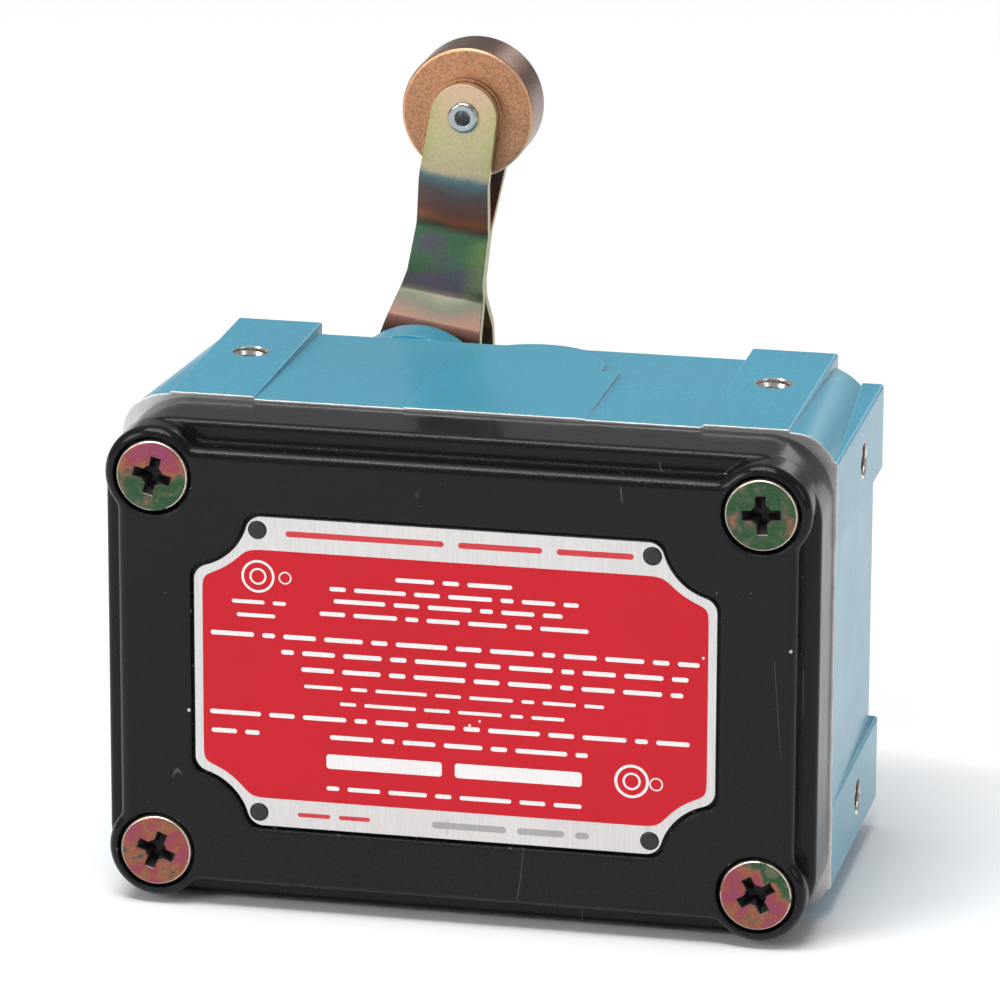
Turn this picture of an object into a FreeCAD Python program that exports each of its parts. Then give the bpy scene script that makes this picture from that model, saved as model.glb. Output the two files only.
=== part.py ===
import FreeCAD, Part
import math
import os

# Enclosed snap-action limit switch: cast housing and screwed cover, with a forked roller
# lever on a shaft through the back wall, and a snap switch inside worked by a cam.
# Millimetres. X is right seen from the cover, Y runs from the cover to the lever, Z is up.
# Origin: midway between the two tapped holes in the bottom pads, on the pads' face.

V = FreeCAD.Vector
X_AXIS = V(1, 0, 0)
Y_AXIS = V(0, 1, 0)
Z_AXIS = V(0, 0, 1)

# Fits
snug = 0.02             # same-body pieces that locate on each other, per side
running = 0.04          # radial clearance of a turning or sliding fit
clear = 0.3             # gap between pieces of different bodies

# Housing casting
housing_width = 100.0
housing_height = 69.1
housing_depth = 39.7
housing_corner_r = 6.2   # at the joint
housing_back_corner_r = 8.2
housing_draft = 1.0     # how far each wall leans in by the back face
housing_wall = 7.5
housing_back_wall = 7.0
housing_back_edge_r = 2.0
cavity_corner_r = 4.0

# Machined mounting pads and their tapped holes: top, bottom and right end
pad_proud_x = 0.1       # end pads, beyond the casting at the joint
pad_proud_z = 0.375     # top and bottom pads
pad_width = 12.3
pad_edge_r = 0.5
mount_pitch_x = 74.6
mount_pitch_z = 49.2
mount_setback = 22.3    # joint face to the line of the holes
mount_hole_r = 2.55
mount_hole_depth = 8.5
mount_boss_r = 5.4
mount_floor = 3.0       # metal left beyond a blind hole

# Blank raised panel on top of the housing
panel_x = 2.5
panel_width = 25.4
panel_length = 24.1
panel_drop = 0.25       # panel face below the pad face
panel_round_r = 10.1

# Conduit entry in the left end
conduit_r = 9.3
conduit_pad_r = 13.2
conduit_length = 11.3

# Cover casting
cover_ledge = 0.35      # bare rim of the housing left outside the cover
cover_corner_r = 9.25
cover_flange = 10.6
cover_plateau = 3.9
plateau_inset_x = 2.5
plateau_inset_z = 3.0
plateau_edge_r = 1.4
plateau_corner_r = 8.0
plateau_crease_r = 2.2
flange_edge_r = 0.9
cover_skin = 5.0
cover_rim = 9.7
ear_r = 6.85

# Cover screws
screw_inset_x = 7.9     # casting edge to screw centre
screw_inset_z = 7.55
screw_r = 3.1
screw_bore_r = 3.45
screw_boss_r = 6.6
screw_thread_depth = 16.0
screw_thread_free = 2.0
screw_head_r = 5.0
screw_head_height = 4.5
screw_head_edge_r = 0.4
screw_recess_depth = 2.6
screw_recess_span = 5.6
screw_recess_width = 1.5
screw_seat_r = 5.55
screw_seat_depth = 4.4
screw_turns = [[21.0, 14.0], [-30.0, -4.0]]   # each end's lower and upper screw, degrees

# Nameplate
plate_width = 72.6
plate_height = 44.4
plate_thick = 0.8
plate_recess = 0.95
plate_gap = 0.55
plate_notch_r = 8.6
plate_notch_out = 0.85  # notch centre outside the plate's corner, each way
plate_corner_r = 2.2
pin_pitch_x = 54.7
pin_pitch_z = 40.6
pin_r = 1.3
pin_shank_r = 0.8
pin_shank_length = 3.0
pin_head_height = 0.9
pin_edge_r = 0.4

# Shaft, bushing and seal
shaft_x = -18.2
shaft_rise = 23.2       # above the housing's middle
shaft_r = 3.97
shaft_seat_r = 3.5
shaft_collar_r = 5.6
shaft_inner_overhang = 1.6
shaft_chamfer = 0.5
boss_r = 10.8
boss_length = 4.8
inner_boss_length = 2.7
bushing_r = 6.4
bushing_flange_r = 9.4
bushing_flange = 1.2
seal_section_r = 0.56
seal_groove_depth = 1.2
seal_groove_width = 1.5
seal_groove_back = 1.2
ring_r = 6.1
ring_thick = 0.8
ring_groove_depth = 0.7
ring_opening = 100.0

# Lever
lever_standoff = 7.8    # boss face to the lever's middle plane
lever_length = 41.8
lever_lean = 8.7
lever_thick = 1.4
lever_eye_r = 4.8
lever_hub_end_r = 8.8
lever_neck_half = 5.3
lever_waist_half = 5.6
lever_flare_half = 7.1
fork_bend_drop = 9.4    # roller axis down to the outward bend
neck_bend_drop = 17.9
flare_bend_drop = 27.8
flare_foot_drop = 32.4
waist_drop = 25.3
flare_half_drop = 32.6
bend_r = 1.6
plate_touch = 0.05
lever_crease_r = 4.0
lever_foot_rise = 2.4   # where the arm's side meets the hub end's round
hub_r = 7.4
hub_width = 7.2
washer_r = 6.4
washer_thick = 1.0
washer_split = 0.8
nut_across = 11.1
nut_height = 3.2
nut_turn = 12.0
nut_chamfer = 0.7
thread_proud = 0.6

# Roller
roller_r = 9.525
roller_width = 8.5
roller_edge_r = 0.6
roller_boss_r = 5.2
roller_boss = 0.7       # boss height on each face
rivet_r = 1.85
rivet_bore_r = 1.15
rivet_bore_depth = 3.4  # from each end
rivet_head_r = 2.25
rivet_head_height = 0.6
fork_gap = 1.1          # roller face to fork plate, each side

# Cam and return spring
cam_thick = 5.0
cam_hub_r = 5.6
cam_base_r = 7.0
cam_travel = 50.0       # degrees of shaft turn
cam_lift = 1.2          # plunger travel over that turn
cam_lead = 14.0
cam_lag = 12.0
cam_relief_r = 6.6
set_screw_r = 1.5
set_screw_socket_r = 0.75
set_screw_socket = 0.9
spring_wire_r = 0.45
spring_r = 5.05
spring_turns = 4.5      # a half turn puts both ends level
spring_leg = 9.0
spring_tang = 2.4       # end that hooks into the cam
spring_pin_r = 0.9
spring_pin_length = 6.4
spring_pin_seat = 3.0
spring_pin_drop = 6.3   # below the shaft

# Snap switch
switch_length = 49.2
switch_height = 16.0
switch_thick = 17.45
switch_wall = 2.0
switch_cap = 2.0
switch_plunger_from_end = 11.0
plunger_r = 1.9
plunger_reach = 5.5     # free height above the case
plunger_collar_r = 2.8
plunger_collar_height = 1.5
switch_hole_pitch = 25.4
switch_hole_from_end = 16.0
switch_hole_rise = 4.4
switch_post_r = 3.2
switch_screw_r = 1.75
switch_screw_head_r = 3.2
switch_screw_head = 2.4
switch_screw_recess = (3.4, 0.8, 1.2)   # span, width, depth
switch_screw_turn = 45.0
pan_edge_r = 0.8

# Blade, contacts and terminals
blade_drop = 5.4        # case top down to the blade's middle
blade_thick = 0.4
blade_width = 5.0
contact_r = 1.6
contact_height = 0.9
contact_from_end = 5.2
strip_thick = 1.0
strip_width = 6.0
tab_drop = 2.4
tab_length = 8.4
tab_margin = 0.3        # tab end to the screw head
closed_slot_in = 0.2    # case wall to the strip
open_slot_gap = 0.6     # strip to the screw post
common_slot_in = 2.0
blade_end_gap = 0.2
terminal_screw_r = 1.7
terminal_head_r = 3.0
terminal_head = 2.2
terminal_slot = (0.8, 0.9)      # width, depth
terminal_end_free = 0.4

# Bracket and its screws
bracket_thick = 1.5
bracket_width = 71.0
bracket_height = 18.8
bracket_left = 8.2      # past the case's left end
bracket_below = 1.6
bracket_hole_in = 4.2
bracket_screw_r = 2.0
bracket_head_r = 3.6
bracket_head = 2.6
bracket_recess = (3.8, 0.9, 1.3)
bracket_screw_turn = 20.0
bracket_corner_r = 3.0
bracket_post = 3.05     # post height off the back wall
blind_end = 1.0         # drilled deeper than the screw reaches
bracket_post_r = 4.2
bracket_screw_depth = 6.0
ground_x = 35.0
ground_drop = 16.0
ground_screw_r = 2.0
ground_head_r = 4.2
ground_head = 2.4
ground_post = 3.0
ground_depth = 5.0
ground_recess = (4.0, 0.9, 1.3)
ground_screw_turn = 30.0

# Planes and axes worked out from the sizes above
pad_span_x = housing_width + 2 * pad_proud_x
pad_span_z = housing_height + 2 * pad_proud_z
screw_pitch_x = housing_width - 2 * screw_inset_x
screw_pitch_z = housing_height - 2 * screw_inset_z
mid_z = pad_span_z / 2
joint_y = -mount_setback
back_y = joint_y + housing_depth
boss_y = back_y + boss_length
front_y = joint_y - cover_flange - cover_plateau
flange_y = joint_y - cover_flange
shaft_z = mid_z + shaft_rise
cavity_back_y = back_y - housing_back_wall
bushing_inner_y = cavity_back_y - inner_boss_length
collar_y = boss_y + bushing_flange + clear
fork_half = roller_width / 2 + fork_gap + lever_thick
hub_half = hub_width / 2 + lever_thick
lever_y = boss_y + lever_standoff
hub_front_y = lever_y - hub_half
hub_back_y = lever_y + hub_half
plunger_x = shaft_x
cam_min_z = shaft_z - cam_base_r
plunger_top_z = cam_min_z - clear
case_top_z = plunger_top_z - plunger_reach
case_bottom_z = case_top_z - switch_height
case_left_x = plunger_x - switch_plunger_from_end
case_right_x = case_left_x + switch_length
bracket_y = cavity_back_y - bracket_post
case_back_y = bracket_y - bracket_thick
case_front_y = case_back_y - switch_thick
case_mid_y = (case_front_y + case_back_y) / 2
blade_z = case_top_z - blade_drop
lift_per_rad = cam_lift / math.radians(cam_travel)


def block(x0, x1, y0, y1, z0, z1):
    return Part.makeBox(x1 - x0, y1 - y0, z1 - z0, V(x0, y0, z0))


def rod(r, start, end):
    path = end - start
    return Part.makeCylinder(r, path.Length, start, path)


def rod_y(r, x, z, y0, y1):
    return rod(r, V(x, y0, z), V(x, y1, z))


def ring_y(r_out, r_in, x, z, y0, y1):
    return rod_y(r_out, x, z, y0, y1).cut(rod_y(r_in, x, z, y0 - 1, y1 + 1))


def rounded_wire(half_x, half_z, r, y, cx=0.0, cz=None):
    """Rectangle with arc corners in the plane of constant y."""
    cz = mid_z if cz is None else cz
    edges = []
    k = r * math.sqrt(0.5)
    for i, (sx, sz) in enumerate([(1, 1), (-1, 1), (-1, -1), (1, -1)]):
        centre = V(cx + sx * (half_x - r), y, cz + sz * (half_z - r))
        side_a = centre + V(sx * r, 0, 0)
        side_b = centre + V(0, 0, sz * r)
        start, end = (side_a, side_b) if i % 2 == 0 else (side_b, side_a)
        if edges:
            edges.append(Part.makeLine(last, start))
        else:
            first = start
        edges.append(Part.Arc(start, centre + V(sx * k, 0, sz * k), end).toShape())
        last = end
    edges.append(Part.makeLine(last, first))
    return Part.Wire(edges)


def slab(half_x, half_z, r, y0, y1, cx=0.0, cz=None):
    face = Part.Face(rounded_wire(half_x, half_z, r, y0, cx, cz))
    return face.extrude(V(0, y1 - y0, 0))


def mirrored_signs():
    return [(sx, sz) for sx in (-1, 1) for sz in (-1, 1)]


def screw_centres():
    return [(sx * screw_pitch_x / 2, mid_z + sz * screw_pitch_z / 2) for sx, sz in mirrored_signs()]


def edges_on_plane(shape, y, tolerance=1e-4):
    return [e for e in shape.Edges if all(abs(v.Y - y) < tolerance for v in e.Vertexes)
            and abs(e.BoundBox.YMin - y) < tolerance and abs(e.BoundBox.YMax - y) < tolerance]


def joined(pieces):
    whole = pieces[0]
    for piece in pieces[1:]:
        whole = whole.fuse(piece)
    return whole.removeSplitter()


def group(pieces):
    return Part.makeCompound(pieces)


def merged_outline(faces, r):
    """Flat faces on one plane of constant y, merged, with the inward corners rounded.

    Growing the outline and shrinking it again by the same amount does the rounding.
    """
    y = faces[0].CenterOfMass.y
    solid = joined([face.extrude(Y_AXIS) for face in faces])
    flat = [face for face in solid.Faces if face.BoundBox.YMax - y < 1e-4][0]
    grown = flat.makeOffset2D(r)
    return grown.Faces[0].makeOffset2D(-r).Faces[0]


def disc(r, x, y, z):
    return Part.Face(Part.Wire(Part.makeCircle(r, V(x, y, z), Y_AXIS)))


# Housing

def housing_shell():
    front = rounded_wire(housing_width / 2, housing_height / 2, housing_corner_r, joint_y)
    back = rounded_wire(housing_width / 2 - housing_draft, housing_height / 2 - housing_draft,
                        housing_back_corner_r, back_y)
    shell = Part.makeLoft([front, back], True, True)
    return shell.makeFillet(housing_back_edge_r, edges_on_plane(shell, back_y))


def eased(pad, outer):
    """Rounds a pad's long edges and its back edge; outer picks out the edges of its machined face."""
    edges = [e for e in pad.Edges if outer(e.CenterOfMass) and e.CenterOfMass.y > joint_y + 0.01]
    return pad.makeFillet(pad_edge_r, edges)


def mounting_pads():
    inner_x = housing_width / 2 - housing_draft - 2
    inner_z = housing_height / 2 - housing_draft - 2
    half = pad_width / 2
    pads = []
    for sx, sz in mirrored_signs():
        x = sx * mount_pitch_x / 2
        face_z = mid_z + sz * pad_span_z / 2
        z0, z1 = sorted((mid_z + sz * inner_z, face_z))
        pad = block(x - half, x + half, joint_y, back_y, z0, z1)
        pads.append(eased(pad, lambda p: abs(p.z - face_z) < 0.01))
    for sz in (-1, 1):
        z = mid_z + sz * mount_pitch_z / 2
        pad = block(inner_x, pad_span_x / 2, joint_y, back_y, z - half, z + half)
        pads.append(eased(pad, lambda p: abs(p.x - pad_span_x / 2) < 0.01))
    return pads


def top_panel():
    z0 = mid_z + housing_height / 2 - housing_draft - 2
    z1 = pad_span_z - panel_drop
    half = panel_width / 2
    flat = block(panel_x - half, panel_x + half, joint_y, joint_y + panel_length, z0, z1)
    round_y = joint_y + panel_length + panel_round_r / 6
    end = rod(panel_round_r, V(panel_x, round_y, z0), V(panel_x, round_y, z1))
    return flat.fuse(end)


def mount_holes(r, length):
    """Rods from the pad faces inward: two each in the top and bottom, and two in the right end."""
    rods = []
    for sx, sz in mirrored_signs():
        start = V(sx * mount_pitch_x / 2, 0, mid_z + sz * pad_span_z / 2)
        rods.append(rod(r, start, start - V(0, 0, sz * length)))
    for sz in (-1, 1):
        start = V(pad_span_x / 2, 0, mid_z + sz * mount_pitch_z / 2)
        rods.append(rod(r, start, start - V(length, 0, 0)))
    return rods


def housing_cavity():
    space = slab(housing_width / 2 - housing_wall, housing_height / 2 - housing_wall,
                 cavity_corner_r, joint_y, cavity_back_y)
    relief = rod_y(cam_relief_r, shaft_x, shaft_z, case_front_y, bushing_inner_y)
    space = space.fuse(relief)
    for x, z in screw_centres():
        space = space.cut(rod_y(screw_boss_r, x, z, joint_y - 1, cavity_back_y + 1))
    for boss in mount_holes(mount_boss_r, mount_hole_depth + mount_floor):
        space = space.cut(boss)
    conduit_inner_x = -pad_span_x / 2 + conduit_length
    space = space.cut(rod(conduit_pad_r, V(-pad_span_x / 2, 0, mid_z), V(conduit_inner_x, 0, mid_z)))
    space = space.cut(rod_y(boss_r, shaft_x, shaft_z, bushing_inner_y, cavity_back_y))
    for x, z in bracket_holes():
        space = space.cut(rod_y(bracket_post_r, x, z, bracket_y, cavity_back_y))
    ground_z = mid_z - ground_drop
    return space.cut(rod_y(ground_head_r, ground_x, ground_z, cavity_back_y - ground_post, cavity_back_y))


def make_housing():
    outer = [housing_shell(), top_panel(), rod_y(boss_r, shaft_x, shaft_z, back_y - 1, boss_y)]
    outer += mounting_pads()
    outer.append(rod(conduit_pad_r, V(-pad_span_x / 2, 0, mid_z),
                     V(-housing_width / 2 + housing_wall, 0, mid_z)))
    body = joined(outer).cut(housing_cavity())
    body = body.cut(rod_y(bushing_r + snug, shaft_x, shaft_z, bushing_inner_y - 1, boss_y + 1))
    for x, z in screw_centres():
        body = body.cut(rod_y(screw_r + snug, x, z, joint_y - 1, joint_y + screw_thread_depth))
    for hole in mount_holes(mount_hole_r, mount_hole_depth):
        body = body.cut(hole)
    conduit_end_x = -pad_span_x / 2 + conduit_length + 1
    body = body.cut(rod(conduit_r, V(-pad_span_x / 2 - 1, 0, mid_z), V(conduit_end_x, 0, mid_z)))
    for x, z in bracket_holes():
        body = body.cut(rod_y(bracket_screw_r + snug, x, z, bracket_y - 1, bracket_y + bracket_screw_depth))
    ground_y = cavity_back_y - ground_post
    body = body.cut(rod_y(ground_screw_r + snug, ground_x, mid_z - ground_drop,
                          ground_y - 1, ground_y + ground_depth))
    pin_x, pin_z = spring_pin_place()
    return body.cut(rod_y(spring_pin_r + snug, pin_x, pin_z,
                          bushing_inner_y - 1, cavity_back_y + spring_pin_seat))


# Cover and its screws

def plateau_outline():
    half_x = housing_width / 2 - cover_ledge - plateau_inset_x
    half_z = housing_height / 2 - cover_ledge - plateau_inset_z
    plateau = Part.Face(rounded_wire(half_x, half_z, plateau_corner_r, front_y))
    ears = [disc(ear_r, x, front_y, z) for x, z in screw_centres()]
    return merged_outline([plateau] + ears, plateau_crease_r)


def make_cover():
    half_x = housing_width / 2 - cover_ledge
    half_z = housing_height / 2 - cover_ledge
    flange = slab(half_x, half_z, cover_corner_r, flange_y, joint_y)
    flange = flange.makeFillet(flange_edge_r, edges_on_plane(flange, flange_y))
    plateau = plateau_outline().extrude(V(0, cover_plateau + 2, 0))
    plateau = plateau.makeFillet(plateau_edge_r, edges_on_plane(plateau, front_y))
    body = flange.fuse(plateau).removeSplitter()
    pocket = slab(housing_width / 2 - cover_rim, housing_height / 2 - cover_rim, cavity_corner_r,
                  front_y + cover_skin, joint_y + 1)
    body = body.cut(pocket)
    for x, z in screw_centres():
        body = body.cut(rod_y(screw_bore_r, x, z, front_y - 1, joint_y + 1))
        body = body.cut(rod_y(screw_seat_r, x, z, front_y - 1, front_y + screw_seat_depth))
    recess = plate_solid(plate_gap, front_y - 1, front_y + plate_recess)
    body = body.cut(recess)
    for x, z in pin_centres():
        body = body.cut(rod_y(pin_shank_r + snug, x, z, front_y, front_y + plate_recess + pin_shank_length))
    return body


def cross_wire(span, width, y):
    """A twelve-cornered cross outline."""
    a = span / 2
    b = width / 2
    corners = [(a, b), (b, b), (b, a), (-b, a), (-b, b), (-a, b),
               (-a, -b), (-b, -b), (-b, -a), (b, -a), (b, -b), (a, -b)]
    points = [V(x, y, z) for x, z in corners]
    return Part.makePolygon(points + points[:1])


def cross_screw(head_r, head_height, shank_r, shank_length, span, width, recess_depth, edge_r):
    """Screw along +Y with the top of its head at the origin's plane."""
    head = rod_y(head_r, 0, 0, 0, head_height)
    head = head.makeFillet(edge_r, edges_on_plane(head, 0))
    body = head.fuse(rod_y(shank_r, 0, 0, head_height - 0.1, head_height + shank_length))
    recess = Part.makeLoft([cross_wire(span, width, -0.01),
                            cross_wire(span * 0.55, width * 0.6, recess_depth)], True, True)
    core = Part.makeCone(width * 1.05, width * 0.45, recess_depth, V(0, 0, 0), Y_AXIS)
    return body.removeSplitter().cut(recess).cut(core)


def placed(shape, x, y, z, turn=0.0):
    moved = shape.copy()
    moved.rotate(V(0, 0, 0), Y_AXIS, turn)
    moved.translate(V(x, y, z))
    return moved


def make_cover_screws():
    seat_y = front_y + screw_seat_depth
    shank = joint_y - seat_y + screw_thread_depth - screw_thread_free
    screw = cross_screw(screw_head_r, screw_head_height, screw_r, shank, screw_recess_span,
                        screw_recess_width, screw_recess_depth, screw_head_edge_r)
    turns = [turn for column in screw_turns for turn in column]
    return group([placed(screw, x, seat_y - screw_head_height, z, turn)
                  for (x, z), turn in zip(screw_centres(), turns)])


# Nameplate

def plate_solid(grow, y0, y1):
    """The plate's outline with a concave notch at each corner, grown all round."""
    half_x = plate_width / 2
    half_z = plate_height / 2
    solid = block(-half_x - grow, half_x + grow, y0, y1, mid_z - half_z - grow, mid_z + half_z + grow)
    for sx, sz in mirrored_signs():
        x = sx * (half_x + plate_notch_out)
        z = mid_z + sz * (half_z + plate_notch_out)
        solid = solid.cut(rod_y(plate_notch_r - grow, x, z, y0 - 1, y1 + 1))
    tips = [e for e in solid.Edges if e.BoundBox.YLength > (y1 - y0) * 0.9 and e.Length < (y1 - y0) * 1.1]
    return solid.makeFillet(plate_corner_r, tips)


def pin_centres():
    return [(sx * pin_pitch_x / 2, mid_z + sz * pin_pitch_z / 2) for sx, sz in mirrored_signs()]


def make_nameplate():
    plate = plate_solid(0.0, front_y + plate_recess - plate_thick, front_y + plate_recess)
    for x, z in pin_centres():
        plate = plate.cut(rod_y(pin_r + snug, x, z, front_y - 1, front_y + plate_recess + 1))
    return plate


def make_nameplate_pins():
    seat_y = front_y + plate_recess
    pins = []
    for x, z in pin_centres():
        head = rod_y(pin_r, x, z, seat_y - pin_head_height, seat_y)
        head = head.makeFillet(pin_edge_r, edges_on_plane(head, seat_y - pin_head_height))
        shank = rod_y(pin_shank_r, x, z, seat_y - 0.1, seat_y + pin_shank_length)
        pins.append(head.fuse(shank).removeSplitter())
    return group(pins)


# Bushing, seal, shaft and retaining ring

def seal_y():
    return boss_y - seal_groove_back - seal_groove_width / 2


def make_shaft_bushing():
    body = joined([rod_y(bushing_r, shaft_x, shaft_z, bushing_inner_y, boss_y + bushing_flange),
                   rod_y(bushing_flange_r, shaft_x, shaft_z, boss_y, boss_y + bushing_flange)])
    body = body.cut(rod_y(shaft_r + running, shaft_x, shaft_z,
                          bushing_inner_y - 1, boss_y + bushing_flange + 1))
    groove = rod_y(shaft_r + seal_groove_depth, shaft_x, shaft_z,
                   seal_y() - seal_groove_width / 2, seal_y() + seal_groove_width / 2)
    return body.cut(groove)


def make_shaft_seal():
    ring_radius = shaft_r + running + seal_section_r
    return Part.makeTorus(ring_radius, seal_section_r, V(shaft_x, seal_y(), shaft_z), Y_AXIS)


def ring_back_y():
    return bushing_inner_y - clear


def make_actuator_shaft():
    inner_y = case_mid_y - cam_thick / 2 - shaft_inner_overhang
    end_y = hub_back_y + washer_thick + nut_height + thread_proud
    body = joined([rod_y(shaft_r, shaft_x, shaft_z, inner_y, collar_y),
                   rod_y(shaft_collar_r, shaft_x, shaft_z, collar_y, hub_front_y),
                   rod_y(shaft_seat_r, shaft_x, shaft_z, hub_front_y, end_y)])
    end_edges = edges_on_plane(body, end_y) + edges_on_plane(body, inner_y)
    body = body.makeChamfer(shaft_chamfer, end_edges)
    groove = ring_y(shaft_r + 1, shaft_r - ring_groove_depth, shaft_x, shaft_z,
                    ring_back_y() - ring_thick, ring_back_y())
    return body.cut(groove)


def make_shaft_retaining_ring():
    y0 = ring_back_y() - ring_thick
    ring = ring_y(ring_r, shaft_r - ring_groove_depth + snug, shaft_x, shaft_z,
                  y0 + snug, ring_back_y() - snug)
    mouth_half = (shaft_r - ring_groove_depth) * math.sin(math.radians(ring_opening / 2))
    mouth = block(shaft_x - mouth_half, shaft_x + mouth_half, y0 - 1, ring_back_y() + 1,
                  shaft_z - ring_r - 1, shaft_z)
    return ring.cut(mouth)


# Lever

def leaned(shape):
    """Turns an upright lever piece to the lever's resting angle."""
    turned = shape.copy()
    turned.rotate(V(shaft_x, 0, shaft_z), Y_AXIS, lever_lean)
    return turned


def height(drop):
    return shaft_z + lever_length - drop


def across_lever():
    reach = fork_half + rivet_head_height + 1
    return lever_y - reach, lever_y + reach


def lever_outline():
    """The plate seen along the shaft: eye, slightly widening arm, flare and round hub end."""
    foot_half = math.sqrt(lever_hub_end_r ** 2 - lever_foot_rise ** 2)
    stations = [(lever_eye_r, 0.0), (lever_neck_half, neck_bend_drop), (lever_waist_half, waist_drop),
                (lever_flare_half, flare_half_drop), (foot_half, lever_length - lever_foot_rise)]
    right = [V(shaft_x + half, 0, height(drop)) for half, drop in stations]
    left = [V(2 * shaft_x - p.x, 0, p.z) for p in reversed(right)]
    arm = Part.Face(Part.makePolygon(right + left + right[:1]))
    ends = [disc(lever_eye_r, shaft_x, 0, height(0)), disc(lever_hub_end_r, shaft_x, 0, shaft_z)]
    face = merged_outline([arm] + ends, lever_crease_r)
    y0, y1 = across_lever()
    face.translate(V(0, y0, 0))
    return face.extrude(V(0, y1 - y0, 0))


def folded_band(side):
    """The bent sheet seen from the edge, as a wide band; side is -1 towards the housing."""
    outer = [(fork_half, -lever_eye_r - 1), (fork_half, fork_bend_drop),
             (plate_touch + lever_thick, neck_bend_drop), (plate_touch + lever_thick, flare_bend_drop),
             (hub_half, flare_foot_drop), (hub_half, lever_length + lever_hub_end_r + 1)]
    path = [V(0, lever_y + side * (y - lever_thick / 2), height(drop)) for y, drop in outer]
    wide = lever_hub_end_r * 2 + 4
    band = Part.Face(thick_line(path, lever_thick / 2)).extrude(V(wide, 0, 0))
    band.translate(V(shaft_x - wide / 2, 0, 0))
    inside, outside = [], []
    for e in [e for e in band.Edges if abs(e.BoundBox.XLength - wide) < 0.01]:
        corner = e.Vertexes[0].Point
        for i, bend in enumerate(path[1:-1]):
            away = V(0, corner.y - bend.y, corner.z - bend.z)
            if away.Length < lever_thick:
                legs = (path[i] - bend).normalize() + (path[i + 2] - bend).normalize()
                (inside if away.dot(legs) > 0 else outside).append(e)
    band = band.makeFillet(bend_r, inside)
    matching = [e for e in band.Edges for o in outside
                if abs(e.BoundBox.XLength - wide) < 0.01 and (e.CenterOfMass - o.CenterOfMass).Length < 0.01]
    return band.makeFillet(bend_r + lever_thick, matching)


def thick_line(path, half):
    """A closed outline at a set distance either side of a line in the YZ plane, mitred at bends."""
    left, right = [], []
    for i, p in enumerate(path):
        steps = []
        if i > 0:
            steps.append((p - path[i - 1]).normalize())
        if i < len(path) - 1:
            steps.append((path[i + 1] - p).normalize())
        normals = [V(0, -s.z, s.y) for s in steps]
        mean = normals[0] if len(normals) == 1 else (normals[0] + normals[1]).normalize()
        reach = half / (mean.y * normals[0].y + mean.z * normals[0].z)
        left.append(p + mean * reach)
        right.append(p - mean * reach)
    points = left + right[::-1]
    return Part.makePolygon(points + points[:1])


def make_lever_plate(side):
    y0, y1 = across_lever()
    plate = folded_band(side).common(lever_outline())
    plate = plate.cut(rod_y(shaft_seat_r + snug, shaft_x, shaft_z, y0, y1))
    plate = plate.cut(rod_y(rivet_r + snug, shaft_x, height(0), y0, y1))
    return leaned(plate)


def make_lever_hub():
    return ring_y(hub_r, shaft_seat_r + snug, shaft_x, shaft_z,
                  lever_y - hub_width / 2, lever_y + hub_width / 2)


def make_hub_lock_washer():
    ring = ring_y(washer_r, shaft_seat_r + snug, shaft_x, shaft_z, hub_back_y, hub_back_y + washer_thick)
    split = block(shaft_x - washer_split / 2, shaft_x + washer_split / 2, hub_back_y - 1, hub_back_y + 2,
                  shaft_z - washer_r - 1, shaft_z)
    return ring.cut(split)


def make_hub_nut():
    y0 = hub_back_y + washer_thick
    corner = nut_across / 2 / math.cos(math.radians(30))
    points = []
    for i in range(6):
        angle = math.radians(60 * i + nut_turn)
        points.append(V(shaft_x + corner * math.cos(angle), y0, shaft_z + corner * math.sin(angle)))
    nut = Part.Face(Part.makePolygon(points + points[:1])).extrude(V(0, nut_height, 0))
    tip_r = corner - nut_chamfer
    dome = Part.makeCone(tip_r + nut_height * math.tan(math.radians(60)), tip_r, nut_height,
                         V(shaft_x, y0, shaft_z), Y_AXIS)
    nut = nut.common(dome)
    return nut.cut(rod_y(shaft_seat_r + snug, shaft_x, shaft_z, y0 - 1, y0 + nut_height + 1))


def make_roller():
    half = roller_width / 2
    body = rod_y(roller_r, shaft_x, height(0), lever_y - half, lever_y + half)
    rims = edges_on_plane(body, lever_y - half) + edges_on_plane(body, lever_y + half)
    body = body.makeFillet(roller_edge_r, rims)
    boss = rod_y(roller_boss_r, shaft_x, height(0),
                 lever_y - half - roller_boss, lever_y + half + roller_boss)
    body = body.fuse(boss)
    bore = rod_y(rivet_r + running, shaft_x, height(0), lever_y - roller_width, lever_y + roller_width)
    return leaned(body.cut(bore))


def make_roller_rivet():
    z = height(0)
    body = rod_y(rivet_r, shaft_x, z, lever_y - fork_half, lever_y + fork_half)
    for side in (-1, 1):
        seat = lever_y + side * fork_half
        y0, y1 = sorted((seat, seat + side * rivet_head_height))
        head = rod_y(rivet_head_r, shaft_x, z, y0, y1)
        head = head.makeFillet(rivet_head_height * 0.8, edges_on_plane(head, seat + side * rivet_head_height))
        body = body.fuse(head)
    body = body.removeSplitter()
    for side in (-1, 1):
        end = lever_y + side * (fork_half + rivet_head_height)
        body = body.cut(rod_y(rivet_bore_r, shaft_x, z, *sorted((end + side, end - side * rivet_bore_depth))))
    return leaned(body)


# Cam, set screw, spring and anchor pin

def cam_point(degrees):
    """On the working edge: the radius grows evenly with the angle from straight down towards +X."""
    angle = math.radians(degrees)
    r = cam_base_r + lift_per_rad * max(0.0, angle)
    return V(shaft_x + r * math.sin(angle), case_mid_y - cam_thick / 2, shaft_z - r * math.cos(angle))


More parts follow.
